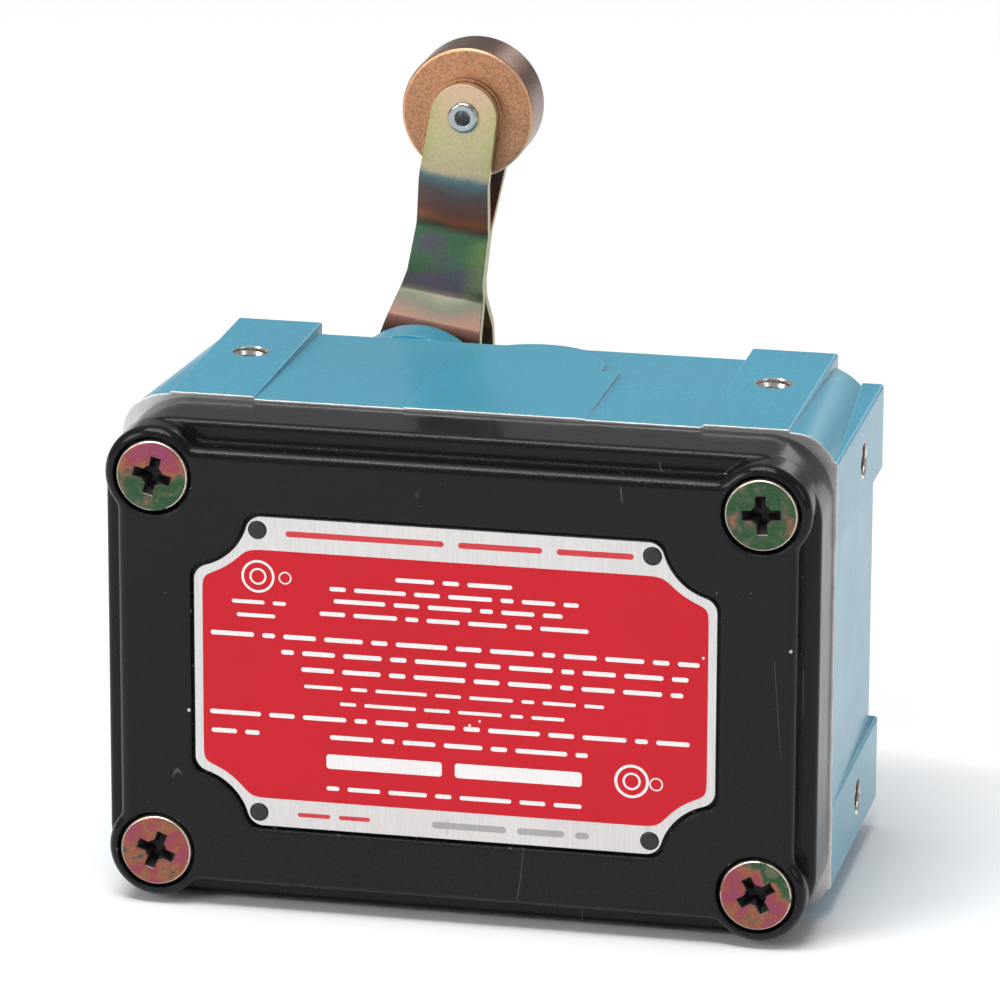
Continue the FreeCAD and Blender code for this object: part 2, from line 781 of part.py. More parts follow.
def make_cam():
    last = cam_travel + cam_lag
    rise = [cam_point(last * i / 12) for i in range(13)]
    spiral = Part.BSplineCurve()
    spiral.interpolate(rise)
    lead_in = Part.Arc(cam_point(-cam_lead), cam_point(-cam_lead / 2), cam_point(0)).toShape()
    centre = V(shaft_x, case_mid_y - cam_thick / 2, shaft_z)
    wire = Part.Wire([Part.makeLine(centre, cam_point(-cam_lead)), lead_in, spiral.toShape(),
                      Part.makeLine(rise[-1], centre)])
    lobe = Part.Face(wire).extrude(V(0, cam_thick, 0))
    hub = rod_y(cam_hub_r, shaft_x, shaft_z, case_mid_y - cam_thick / 2, case_mid_y + cam_thick / 2)
    cam = lobe.fuse(hub).removeSplitter()
    cam = cam.cut(rod_y(shaft_r + snug, shaft_x, shaft_z, case_mid_y - cam_thick, case_mid_y + cam_thick))
    start = V(shaft_x, case_mid_y, shaft_z)
    cam = cam.cut(rod(set_screw_r + snug, start, start + V(0, 0, cam_base_r + 4)))
    hole_x = shaft_x - spring_r
    return cam.cut(rod_y(spring_wire_r + snug, hole_x, shaft_z, case_mid_y, case_mid_y + cam_thick))


def make_cam_set_screw():
    start = V(shaft_x, case_mid_y, shaft_z + shaft_r)
    end = start + V(0, 0, cam_hub_r - shaft_r)
    core = rod_y(shaft_r + snug, shaft_x, shaft_z, case_mid_y - cam_thick, case_mid_y + cam_thick)
    screw = rod(set_screw_r, start - V(0, 0, 1), end).cut(core)
    socket = rod(set_screw_socket_r, end, end - V(0, 0, set_screw_socket))
    return screw.cut(socket)


def spring_span():
    y0 = case_mid_y + cam_thick / 2 + clear + spring_wire_r
    y1 = ring_back_y() - ring_thick - clear - spring_wire_r
    return y0, y1


def spring_pin_place():
    return shaft_x + spring_r + spring_wire_r + spring_pin_r + snug, shaft_z - spring_pin_drop


def make_return_spring():
    y0, y1 = spring_span()
    helix = Part.makeHelix((y1 - y0) / spring_turns, y1 - y0, spring_r)
    start = V(spring_r, 0, 0)
    profile = Part.Wire(Part.makeCircle(spring_wire_r, start, Y_AXIS))
    coil = Part.Wire(helix).makePipeShell([profile], True, True)
    tang = rod(spring_wire_r, start + V(0, 0, spring_wire_r), start - V(0, 0, spring_tang))
    half_turn = FreeCAD.Rotation(Z_AXIS, 180)
    whole = joined([coil, tang])
    whole.Placement = FreeCAD.Placement(V(0, 0, 0), half_turn)
    end = V(spring_r, 0, y1 - y0)
    whole = whole.fuse(rod(spring_wire_r, end, end + V(0, spring_leg, 0)))
    # made about Z, then laid along Y, which turns the long leg downward
    whole.Placement = FreeCAD.Placement(V(shaft_x, y0, shaft_z), FreeCAD.Rotation(X_AXIS, -90))
    return whole


def make_spring_anchor_pin():
    x, z = spring_pin_place()
    y0 = cavity_back_y - spring_pin_length
    return rod_y(spring_pin_r, x, z, y0, cavity_back_y + spring_pin_seat)


# Snap switch

def switch_holes():
    x = case_left_x + switch_hole_from_end
    z = case_bottom_z + switch_hole_rise
    return [(x, z), (x + switch_hole_pitch, z)]


def terminal_slots():
    """Each strip's left edge in X where it goes through the floor of the case."""
    return {"closed": case_left_x + switch_wall + closed_slot_in,
            "open": case_left_x + switch_hole_from_end - switch_post_r - open_slot_gap - strip_thick,
            "common": case_right_x - switch_wall - common_slot_in}


def make_switch_case():
    body = block(case_left_x, case_right_x, case_front_y + switch_cap, case_back_y, case_bottom_z, case_top_z)
    room = block(case_left_x + switch_wall, case_right_x - switch_wall, case_front_y,
                 case_back_y - switch_wall, case_bottom_z + switch_wall, case_top_z - switch_wall)
    for x, z in switch_holes():
        room = room.cut(rod_y(switch_post_r, x, z, case_front_y, case_back_y))
    body = body.cut(room)
    body = body.cut(rod(plunger_r + running, V(plunger_x, case_mid_y, blade_z),
                        V(plunger_x, case_mid_y, case_top_z + 1)))
    for x in terminal_slots().values():
        body = body.cut(block(x - snug, x + strip_thick + snug,
                              case_mid_y - strip_width / 2 - snug, case_mid_y + strip_width / 2 + snug,
                              case_bottom_z - 1, case_bottom_z + switch_wall + 1))
    for x, z in switch_holes():
        body = body.cut(rod_y(switch_screw_r + snug, x, z, case_front_y - 1, case_back_y + 1))
    return body


def make_switch_case_cover():
    lid = block(case_left_x, case_right_x, case_front_y, case_front_y + switch_cap, case_bottom_z, case_top_z)
    for x, z in switch_holes():
        lid = lid.cut(rod_y(switch_screw_r + snug, x, z, case_front_y - 1, case_front_y + switch_cap + 1))
    return lid


def make_switch_plunger():
    foot_z = blade_z + blade_thick / 2 + clear
    stem = rod(plunger_r, V(plunger_x, case_mid_y, foot_z), V(plunger_x, case_mid_y, plunger_top_z))
    top = [e for e in stem.Edges if abs(e.BoundBox.ZMin - plunger_top_z) < 1e-4
           and abs(e.BoundBox.ZMax - plunger_top_z) < 1e-4]
    stem = stem.makeFillet(plunger_r * 0.7, top)
    collar = rod(plunger_collar_r, V(plunger_x, case_mid_y, foot_z),
                 V(plunger_x, case_mid_y, foot_z + plunger_collar_height))
    return stem.fuse(collar).removeSplitter()


def contact_x():
    return case_left_x + contact_from_end


def blade_pivot_x():
    return terminal_slots()["common"] - clear


def make_snap_blade():
    half = blade_width / 2
    left = contact_x() - contact_r
    leaf = block(left, blade_pivot_x() - blade_end_gap, case_mid_y - half, case_mid_y + half,
                 blade_z - blade_thick / 2, blade_z + blade_thick / 2)
    reach = blade_thick / 2 + contact_height
    button = rod(contact_r, V(contact_x(), case_mid_y, blade_z - reach),
                 V(contact_x(), case_mid_y, blade_z + reach))
    return leaf.fuse(button).removeSplitter()


def tab_z():
    return case_bottom_z - tab_drop


def strip(x0, x1, z0, z1):
    return block(x0, x1, case_mid_y - strip_width / 2, case_mid_y + strip_width / 2, z0, z1)


def make_normally_closed_terminal():
    x = terminal_slots()["closed"]
    contact_low = blade_z + blade_thick / 2 + contact_height + clear
    arm_z = contact_low + contact_height
    pieces = [strip(x, x + strip_thick, tab_z() - strip_thick, arm_z + strip_thick),
              strip(x, contact_x() + contact_r, arm_z, arm_z + strip_thick),
              rod(contact_r, V(contact_x(), case_mid_y, contact_low), V(contact_x(), case_mid_y, arm_z)),
              strip(x + strip_thick - tab_length, x + strip_thick, tab_z() - strip_thick, tab_z())]
    return joined(pieces).cut(tab_hole("closed"))


def make_normally_open_terminal():
    x = terminal_slots()["open"]
    swing = cam_lift * (blade_pivot_x() - contact_x()) / (blade_pivot_x() - plunger_x)
    contact_top = blade_z - blade_thick / 2 - contact_height - swing - clear
    arm_z = contact_top - contact_height
    pieces = [strip(x, x + strip_thick, tab_z() - strip_thick, arm_z),
              strip(contact_x() - contact_r, x + strip_thick, arm_z - strip_thick, arm_z),
              rod(contact_r, V(contact_x(), case_mid_y, arm_z), V(contact_x(), case_mid_y, contact_top)),
              strip(x, x + tab_length, tab_z() - strip_thick, tab_z())]
    return joined(pieces).cut(tab_hole("open"))


def make_common_terminal():
    x = terminal_slots()["common"]
    pieces = [strip(x, x + strip_thick, tab_z() - strip_thick, blade_z + 1),
              strip(x, x + tab_length, tab_z() - strip_thick, tab_z())]
    return joined(pieces).cut(tab_hole("common"))


def tab_centre(name):
    x = terminal_slots()[name]
    if name == "closed":
        return x + strip_thick - tab_length + terminal_head_r + tab_margin
    return x + tab_length - terminal_head_r - tab_margin


def tab_hole(name):
    x = tab_centre(name)
    return rod(terminal_screw_r + snug, V(x, case_mid_y, tab_z() - 5), V(x, case_mid_y, tab_z() + 1))


def make_terminal_screws():
    screws = []
    slot_width, slot_depth = terminal_slot
    for name in terminal_slots():
        x = tab_centre(name)
        seat = tab_z() - strip_thick
        head = rod(terminal_head_r, V(x, case_mid_y, seat - terminal_head), V(x, case_mid_y, seat))
        low = seat - terminal_head
        slot = block(x - slot_width / 2, x + slot_width / 2, case_mid_y - 5, case_mid_y + 5,
                     low - 1, low + slot_depth)
        shank = rod(terminal_screw_r, V(x, case_mid_y, seat),
                    V(x, case_mid_y, case_bottom_z - terminal_end_free))
        screws.append(head.cut(slot).fuse(shank).removeSplitter())
    return group(screws)


def make_switch_screws():
    length = bracket_y - case_front_y
    screw = cross_screw(switch_screw_head_r, switch_screw_head, switch_screw_r, length,
                        *switch_screw_recess, pan_edge_r)
    return group([placed(screw, x, case_front_y - switch_screw_head, z, switch_screw_turn)
                  for x, z in switch_holes()])


# Bracket, its screws and the ground screw

def bracket_box():
    x0 = case_left_x - bracket_left
    z0 = case_bottom_z - bracket_below
    return x0, x0 + bracket_width, z0, z0 + bracket_height


def bracket_holes():
    x0, x1, z0, z1 = bracket_box()
    z = (z0 + z1) / 2
    return [(x0 + bracket_hole_in, z), (x1 - bracket_hole_in, z)]


def make_switch_bracket():
    x0, x1, z0, z1 = bracket_box()
    sheet = block(x0, x1, case_back_y, bracket_y, z0, z1)
    corners = [e for e in sheet.Edges if e.BoundBox.YLength > bracket_thick * 0.9]
    sheet = sheet.makeFillet(bracket_corner_r, corners)
    for x, z in switch_holes():
        sheet = sheet.cut(rod_y(switch_screw_r + snug, x, z, case_back_y - 1, bracket_y + 1))
    for x, z in bracket_holes():
        sheet = sheet.cut(rod_y(bracket_screw_r + snug, x, z, case_back_y - 1, bracket_y + 1))
    return sheet


def make_bracket_screws():
    screw = cross_screw(bracket_head_r, bracket_head, bracket_screw_r,
                        bracket_thick + bracket_screw_depth - blind_end, *bracket_recess, pan_edge_r)
    return group([placed(screw, x, case_back_y - bracket_head, z, bracket_screw_turn)
                  for x, z in bracket_holes()])


def make_ground_screw():
    screw = cross_screw(ground_head_r, ground_head, ground_screw_r, ground_depth - blind_end,
                        *ground_recess, pan_edge_r)
    y = cavity_back_y - ground_post - ground_head
    return placed(screw, ground_x, y, mid_z - ground_drop, ground_screw_turn)


def save(name, shape):
    solids = shape.Solids
    valid = all(s.isValid() for s in solids)
    print(f"{name}: {len(solids)} solid(s), valid {valid}, {sum(s.Volume for s in solids):.1f} mm3")
    whole = solids[0] if len(solids) == 1 else Part.makeCompound(solids)
    whole.exportStep(f"parts/{name}.step")


def build():
    os.makedirs("parts", exist_ok=True)
    makers = {
        "housing": make_housing, "cover": make_cover, "cover_screws": make_cover_screws,
        "nameplate": make_nameplate, "nameplate_pins": make_nameplate_pins,
        "shaft_bushing": make_shaft_bushing, "shaft_seal": make_shaft_seal,
        "actuator_shaft": make_actuator_shaft, "shaft_retaining_ring": make_shaft_retaining_ring,
        "lever_hub": make_lever_hub, "hub_lock_washer": make_hub_lock_washer, "hub_nut": make_hub_nut,
        "roller": make_roller, "roller_rivet": make_roller_rivet,
        "cam": make_cam, "cam_set_screw": make_cam_set_screw, "return_spring": make_return_spring,
        "spring_anchor_pin": make_spring_anchor_pin, "switch_bracket": make_switch_bracket,
        "bracket_screws": make_bracket_screws, "switch_case": make_switch_case,
        "switch_case_cover": make_switch_case_cover, "switch_plunger": make_switch_plunger,
        "snap_blade": make_snap_blade, "common_terminal": make_common_terminal,
        "normally_closed_terminal": make_normally_closed_terminal,
        "normally_open_terminal": make_normally_open_terminal, "terminal_screws": make_terminal_screws,
        "switch_screws": make_switch_screws, "ground_screw": make_ground_screw,
    }
    for name, maker in makers.items():
        save(name, maker())
    save("lever_front_plate", make_lever_plate(-1))
    save("lever_rear_plate", make_lever_plate(1))


build()
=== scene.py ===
import math

import bpy
import numpy as np
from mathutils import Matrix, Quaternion, Vector


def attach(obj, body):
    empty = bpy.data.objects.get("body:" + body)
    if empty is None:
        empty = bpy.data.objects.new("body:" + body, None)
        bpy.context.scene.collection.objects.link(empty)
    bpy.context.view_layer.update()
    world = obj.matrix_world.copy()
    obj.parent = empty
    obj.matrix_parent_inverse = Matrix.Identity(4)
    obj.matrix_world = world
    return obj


# Enclosed limit switch with a forked roller lever: finishes, nameplate print and threads
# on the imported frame. Metres; X is right seen from the cover, Y runs back to the lever, Z is up.

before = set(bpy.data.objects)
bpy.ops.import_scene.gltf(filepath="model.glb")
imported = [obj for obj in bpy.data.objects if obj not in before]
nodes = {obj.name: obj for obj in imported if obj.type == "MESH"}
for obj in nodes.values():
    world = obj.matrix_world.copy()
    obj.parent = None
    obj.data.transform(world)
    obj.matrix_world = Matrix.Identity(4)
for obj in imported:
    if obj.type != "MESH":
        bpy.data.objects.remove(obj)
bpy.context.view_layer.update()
mm = 0.001


# Shader boards: adding nodes and joining sockets or plain values to them

class Board:
    def __init__(self, tree):
        self.tree = tree

    def add(self, kind, **settings):
        node = self.tree.nodes.new(kind)
        for key, value in settings.items():
            setattr(node, key, value)
        return node

    def feed(self, socket, value):
        if isinstance(value, bpy.types.NodeSocket):
            self.tree.links.new(value, socket)
        elif socket.type == "RGBA" and len(value) == 3:
            socket.default_value = (*value, 1.0)
        else:
            socket.default_value = value

    def calc(self, operation, a, b=0.0, c=0.0, clamp=False):
        node = self.add("ShaderNodeMath", operation=operation, use_clamp=clamp)
        for socket, value in zip(node.inputs, (a, b, c)):
            self.feed(socket, value)
        return node.outputs[0]

    def plus(self, a, b):
        return self.calc("ADD", a, b)

    def minus(self, a, b):
        return self.calc("SUBTRACT", a, b)

    def times(self, a, b):
        return self.calc("MULTIPLY", a, b)

    def timesPlus(self, a, b, c):
        return self.calc("MULTIPLY_ADD", a, b, c)

    def most(self, a, b, clamp=False):
        return self.calc("MAXIMUM", a, b, clamp=clamp)

    def size(self, a):
        return self.calc("ABSOLUTE", a)

    def vector(self, operation, a, b):
        node = self.add("ShaderNodeVectorMath", operation=operation)
        self.feed(node.inputs[0], a)
        self.feed(node.inputs[1], b)
        return node.outputs["Value" if operation in ("DOT_PRODUCT", "LENGTH", "DISTANCE") else "Vector"]

    # rises smoothly from 0 at low to 1 at high; falls when low is the larger
    def fade(self, value, low, high):
        node = self.add("ShaderNodeMapRange", interpolation_type="SMOOTHSTEP")
        for socket, number in zip(node.inputs, (value, low, high)):
            self.feed(socket, number)
        return node.outputs[0]

    # the same over a distance, between two places in millimetres
    def fadeMm(self, value, ends):
        return self.fade(value, ends[0] * mm, ends[1] * mm)

    def mix(self, amount, a, b):
        node = self.add("ShaderNodeMix", data_type="RGBA")
        for index, value in ((0, amount), (6, a), (7, b)):
            self.feed(node.inputs[index], value)
        return node.outputs[2]

    def blendValue(self, amount, a, b):
        node = self.add("ShaderNodeMix", data_type="FLOAT")
        for index, value in ((0, amount), (2, a), (3, b)):
            self.feed(node.inputs[index], value)
        return node.outputs[0]

    def ramp(self, value, stops):
        node = self.add("ShaderNodeValToRGB")
        ramp = node.color_ramp
        while len(ramp.elements) < len(stops):
            ramp.elements.new(0.5)
        for element, (place, colour) in zip(ramp.elements, stops):
            element.position = place
            element.color = (*colour, 1.0)
        self.feed(node.inputs[0], value)
        return node.outputs[0]

    def noise(self, where, scale, detail=2.0, roughness=0.5, distortion=0.0):
        node = self.add("ShaderNodeTexNoise")
        for name, value in (("Vector", where), ("Scale", scale), ("Detail", detail),
                            ("Roughness", roughness), ("Distortion", distortion)):
            self.feed(node.inputs[name], value)
        return node.outputs[0]

    def stretch(self, where, scale):
        node = self.add("ShaderNodeMapping")
        self.feed(node.inputs["Vector"], where)
        self.feed(node.inputs["Scale"], scale)
        return node.outputs[0]

    def bump(self, height, strength, distance, normal=None):
        node = self.add("ShaderNodeBump")
        for name, value in (("Strength", strength), ("Distance", distance), ("Height", height)):
            self.feed(node.inputs[name], value)
        if normal is not None:
            self.feed(node.inputs["Normal"], normal)
        return node.outputs[0]

    def group(self, tree, **values):
        node = self.add("ShaderNodeGroup", node_tree=tree)
        for name, value in values.items():
            self.feed(node.inputs[name], value)
        return node.outputs

    def objectPlace(self):
        return self.add("ShaderNodeTexCoord").outputs["Object"]

    def objectNormal(self):
        return self.add("ShaderNodeTexCoord").outputs["Normal"]

    def split(self, where):
        node = self.add("ShaderNodeSeparateXYZ")
        self.feed(node.inputs[0], where)
        return node.outputs


def newGroup(name, inputs, outputs):
    tree = bpy.data.node_groups.new(name, "ShaderNodeTree")
    for label, kind, value in inputs:
        socket = tree.interface.new_socket(label, in_out="INPUT", socket_type=kind)
        if value is not None:
            socket.default_value = value
    for label, kind in outputs:
        tree.interface.new_socket(label, in_out="OUTPUT", socket_type=kind)
    board = Board(tree)
    return board, board.add("NodeGroupInput").outputs, board.add("NodeGroupOutput").inputs


floatSocket = "NodeSocketFloat"
vectorSocket = "NodeSocketVector"
colourSocket = "NodeSocketColor"


def edgeWearGroup():
    # the rounded normal leans away from the true one only near an edge, and noise breaks the line up
    inputs = [("Place", vectorSocket, None), ("Radius", floatSocket, 0.0004),
              ("Breaks", floatSocket, 900.0), ("Keep", floatSocket, 0.5)]
    outputs = [("Line", floatSocket), ("Chips", floatSocket), ("Soft Normal", vectorSocket)]
    board, given, out = newGroup("edgeWear", inputs, outputs)
    bevel = board.add("ShaderNodeBevel", samples=6)
    board.feed(bevel.inputs["Radius"], given["Radius"])
    plain = board.add("ShaderNodeNewGeometry").outputs["Normal"]
    together = board.vector("DOT_PRODUCT", bevel.outputs[0], plain)
    line = board.fade(together, 0.995, 0.9)
    patches = board.noise(given["Place"], given["Breaks"], 4.0, 0.65)
    chips = board.times(line, board.fade(patches, given["Keep"], board.plus(given["Keep"], 0.08)))
    board.feed(out["Line"], line)
    board.feed(out["Chips"], chips)
    board.feed(out["Soft Normal"], bevel.outputs[0])
    return board.tree


def speckGroup():
    # sparse round specks: the distance to the nearest scattered point, kept where a noise patch allows
    inputs = [("Place", vectorSocket, None), ("Scale", floatSocket, 300.0),
              ("Size", floatSocket, 0.12), ("Rarity", floatSocket, 0.62)]
    board, given, out = newGroup("specks", inputs, [("Mask", floatSocket)])
    cells = board.add("ShaderNodeTexVoronoi")
    board.feed(cells.inputs["Vector"], given["Place"])
    board.feed(cells.inputs["Scale"], given["Scale"])
    spot = board.fade(cells.outputs["Distance"], given["Size"], board.times(given["Size"], 0.4))
    gate = board.noise(given["Place"], board.times(given["Scale"], 0.31), 1.0)
    kept = board.fade(gate, given["Rarity"], board.plus(given["Rarity"], 0.03))
    board.feed(out["Mask"], board.times(spot, kept))
    return board.tree


def scratchGroup():
    # thin bright lines where a long drawn-out noise crosses its middle value, kept in scattered patches
    inputs = [("Place", vectorSocket, None), ("Scale", floatSocket, 120.0),
              ("Width", floatSocket, 0.012), ("Rarity", floatSocket, 0.55)]
    board, given, out = newGroup("scratches", inputs, [("Mask", floatSocket)])
    drawn = board.stretch(given["Place"], (1.0, 1.0, 0.12))
    wander = board.noise(drawn, given["Scale"], 1.0, 0.5, 0.6)
    away = board.size(board.minus(wander, 0.5))
    line = board.fade(away, given["Width"], board.times(given["Width"], 0.3))
    gate = board.noise(given["Place"], board.times(given["Scale"], 0.9), 2.0)
    kept = board.fade(gate, given["Rarity"], board.plus(given["Rarity"], 0.04))
    board.feed(out["Mask"], board.times(line, kept))
    return board.tree


def tintGroup():
    # a colour moved lighter and darker by broad patches and by fine grain
    inputs = [("Place", vectorSocket, None), ("Colour", colourSocket, (0.5, 0.5, 0.5, 1)),
              ("Patch Scale", floatSocket, 50.0), ("Patch", floatSocket, 0.1),
              ("Grain Scale", floatSocket, 2000.0), ("Grain", floatSocket, 0.1)]
    board, given, out = newGroup("tintDrift", inputs, [("Colour", colourSocket), ("Grain", floatSocket)])
    patch = board.minus(board.noise(given["Place"], given["Patch Scale"], 3.0), 0.5)
    grain = board.noise(given["Place"], given["Grain Scale"], 2.0, 0.7)
    level = board.timesPlus(patch, board.times(given["Patch"], 2.0), 1.0)
    level = board.timesPlus(board.minus(grain, 0.5), board.times(given["Grain"], 2.0), level)
    board.feed(out["Colour"], board.vector("MULTIPLY", given["Colour"], level))
    board.feed(out["Grain"], grain)
    return board.tree


edgeWear = edgeWearGroup()
specks = speckGroup()
scratches = scratchGroup()
tintDrift = tintGroup()


def newFinish(name, **constants):
    material = bpy.data.materials.new(name)
    material.use_nodes = True
    board = Board(material.node_tree)
    shader = material.node_tree.nodes["Principled BSDF"]
    for label, value in constants.items():
        board.feed(shader.inputs[label.replace("_", " ")], value)
    return material, board, shader.inputs


def assign(material, *names):
    for name in names:
        slots = nodes[name].material_slots
        for slot in slots:
            slot.material = material
        if not slots:
            nodes[name].data.materials.append(material)


def radial(board, a, b):
    # distance from an axis, from the two coordinates across it
    return board.calc("SQRT", board.timesPlus(a, a, board.times(b, b)))


# Sizes of the frame that patterns and new pieces follow, in millimetres
middleZ = 34.925
jointY = -22.3
holeX = 37.3
holeZ = 24.6
padX = 50.1
padZ = 34.925
screwX = 42.1
screwZ = 27.0
shaftPlace = (-18.2, 58.125)    # x and z of each axis
rollerPlace = (-11.877, 99.444)
leverLean = math.radians(8.7)
leverLength = 41.8

housingLook = {
    "paint": (0.036, 0.275, 0.400), "paintPatch": 0.10, "paintGrain": 0.34,
    "metal": (0.62, 0.61, 0.60), "ledge": 0.10, "chipReach": 1.1,
    "roughness": 0.34, "texture": 0.30, "textureSize": 620.0, "wave": 0.25, "waveSize": 55.0,
    # where paint gives way to metal round the holes, outer edge first, and how far in the holes start
    "tapEdge": (2.68, 2.6), "tapsBeyondZ": (20, 22), "tapsBeyondX": (36, 38),
    "entryEdge": (9.45, 9.35), "entryBeyondX": (-36, -38),
}


def housingPaint():
    look = housingLook
    material, board, shader = newFinish("housingEnamel", Coat_Weight=0.40, Coat_Roughness=0.22,
                                        Specular_IOR_Level=0.45)
    where = board.objectPlace()
    x, y, z = board.split(where)
    ax = board.size(x)
    az = board.size(board.minus(z, middleZ * mm))
    # bare where the joint face was machined, and down the tapped holes and conduit entry
    ledge = board.fadeMm(y, (jointY + look["ledge"], jointY + look["ledge"] - 0.04))
    upDown = radial(board, board.minus(ax, holeX * mm), y)
    sideways = radial(board, board.minus(az, holeZ * mm), y)
    entry = radial(board, y, az)
    drilled = board.times(board.fadeMm(upDown, look["tapEdge"]), board.fadeMm(az, look["tapsBeyondZ"]))
    drilledEnds = board.times(board.fadeMm(sideways, look["tapEdge"]), board.fadeMm(x, look["tapsBeyondX"]))
    conduit = board.times(board.fadeMm(entry, look["entryEdge"]), board.fadeMm(x, look["entryBeyondX"]))
    bare = board.most(board.most(drilled, drilledEnds), board.most(conduit, ledge))
    wear = board.group(edgeWear, Place=where, Radius=0.00035, Breaks=700.0, Keep=0.58)
    nearJoint = board.fadeMm(y, (jointY + look["chipReach"], jointY))
    chipNoise = board.noise(where, 900.0, 4.0, 0.7)
    chipNoise = board.plus(chipNoise, board.times(nearJoint, 0.22))
    chips = board.times(board.fade(chipNoise, 0.72, 0.75), nearJoint)
    chips = board.most(chips, board.times(wear["Chips"], 0.55))
    bare = board.most(bare, chips, clamp=True)
    paint = board.group(tintDrift, Place=where, Colour=look["paint"], **{
        "Patch Scale": 38.0, "Patch": look["paintPatch"], "Grain Scale": 2600.0, "Grain": look["paintGrain"]})
    paler = board.mix(board.times(wear["Line"], 0.30), paint["Colour"], (0.16, 0.46, 0.60))
    metal = board.group(tintDrift, Place=where, Colour=look["metal"], **{
        "Patch Scale": 260.0, "Patch": 0.22, "Grain Scale": 3000.0, "Grain": 0.18})
    board.feed(shader["Base Color"], board.mix(bare, paler, metal["Colour"]))
    board.feed(shader["Metallic"], board.times(bare, 0.85))
    rough = board.timesPlus(board.noise(where, 90.0, 3.0), 0.14, look["roughness"] - 0.07)
    board.feed(shader["Roughness"], board.blendValue(bare, rough, 0.34))
    # enamel skin over cast iron sand texture, over slow casting waves
    waves = board.bump(board.noise(where, look["waveSize"], 1.0), look["wave"], 0.0012, wear["Soft Normal"])
    skin = board.bump(board.noise(where, look["textureSize"], 2.0, 0.6), look["texture"], 0.00016, waves)
    board.feed(shader["Normal"], board.bump(board.noise(where, 2400.0, 2.0, 0.6), 0.22, 0.00005, skin))
    return material


coverLook = {
    "paint": (0.0050, 0.0056, 0.0062), "scuff": (0.30, 0.31, 0.32), "metal": (0.56, 0.55, 0.53),
    "roughness": 0.20, "peel": 0.34, "peelSize": 900.0,
}


def coverPaint():
    look = coverLook
    material, board, shader = newFinish("coverBlackEnamel", Coat_Weight=0.16, Coat_Roughness=0.10,
                                        Specular_IOR_Level=0.12)
    where = board.objectPlace()
    wear = board.group(edgeWear, Place=where, Radius=0.0003, Breaks=520.0, Keep=0.63)
    nicks = board.group(specks, Place=where, Scale=150.0, Size=0.05, Rarity=0.57)["Mask"]
    dust = board.group(specks, Place=where, Scale=420.0, Size=0.06, Rarity=0.60)["Mask"]
    lines = board.group(scratches, Place=where, Scale=85.0, Width=0.004, Rarity=0.63)["Mask"]
    worn = board.most(board.times(wear["Chips"], 0.6), nicks, clamp=True)
    paint = board.group(tintDrift, Place=where, Colour=look["paint"], **{
        "Patch Scale": 60.0, "Patch": 0.25, "Grain Scale": 3200.0, "Grain": 0.55})
    scuffs = board.times(board.most(lines, dust), 0.22)
    scuffed = board.mix(scuffs, paint["Colour"], look["scuff"])
    board.feed(shader["Base Color"], board.mix(worn, scuffed, look["metal"]))
    board.feed(shader["Metallic"], board.times(worn, 0.7))
    rough = board.timesPlus(board.noise(where, 130.0, 3.0), 0.16, look["roughness"] - 0.08)
    board.feed(shader["Roughness"], board.blendValue(worn, rough, 0.4))
    rounded = board.group(edgeWear, Place=where, Radius=0.0011, Breaks=500.0, Keep=0.9)["Soft Normal"]
    waves = board.bump(board.noise(where, 140.0, 1.0), 0.16, 0.0004, rounded)
    peel = board.bump(board.noise(where, look["peelSize"], 2.0, 0.55), look["peel"], 0.00010, waves)
    board.feed(shader["Normal"], peel)
    return material


coverScrewLook = {
    "stops": [(0.0, (0.26, 0.06, 0.13)), (0.26, (0.27, 0.065, 0.075)), (0.42, (0.28, 0.12, 0.06)),
              (0.52, (0.13, 0.095, 0.075)), (0.64, (0.045, 0.095, 0.045)), (0.82, (0.030, 0.075, 0.038)),
              (1.0, (0.10, 0.13, 0.07))],
    # the rim colour is a painted highlight, and the dark colour is painted shade for the cross recess
    "rim": (0.80, 0.70, 0.60), "grain": (0.50, 0.36, 0.28), "recessShadeColour": (0.012, 0.010, 0.010),
    "lip": 4.72, "crossReach": (3.25, 3.0), "faceY": -36.9,
}


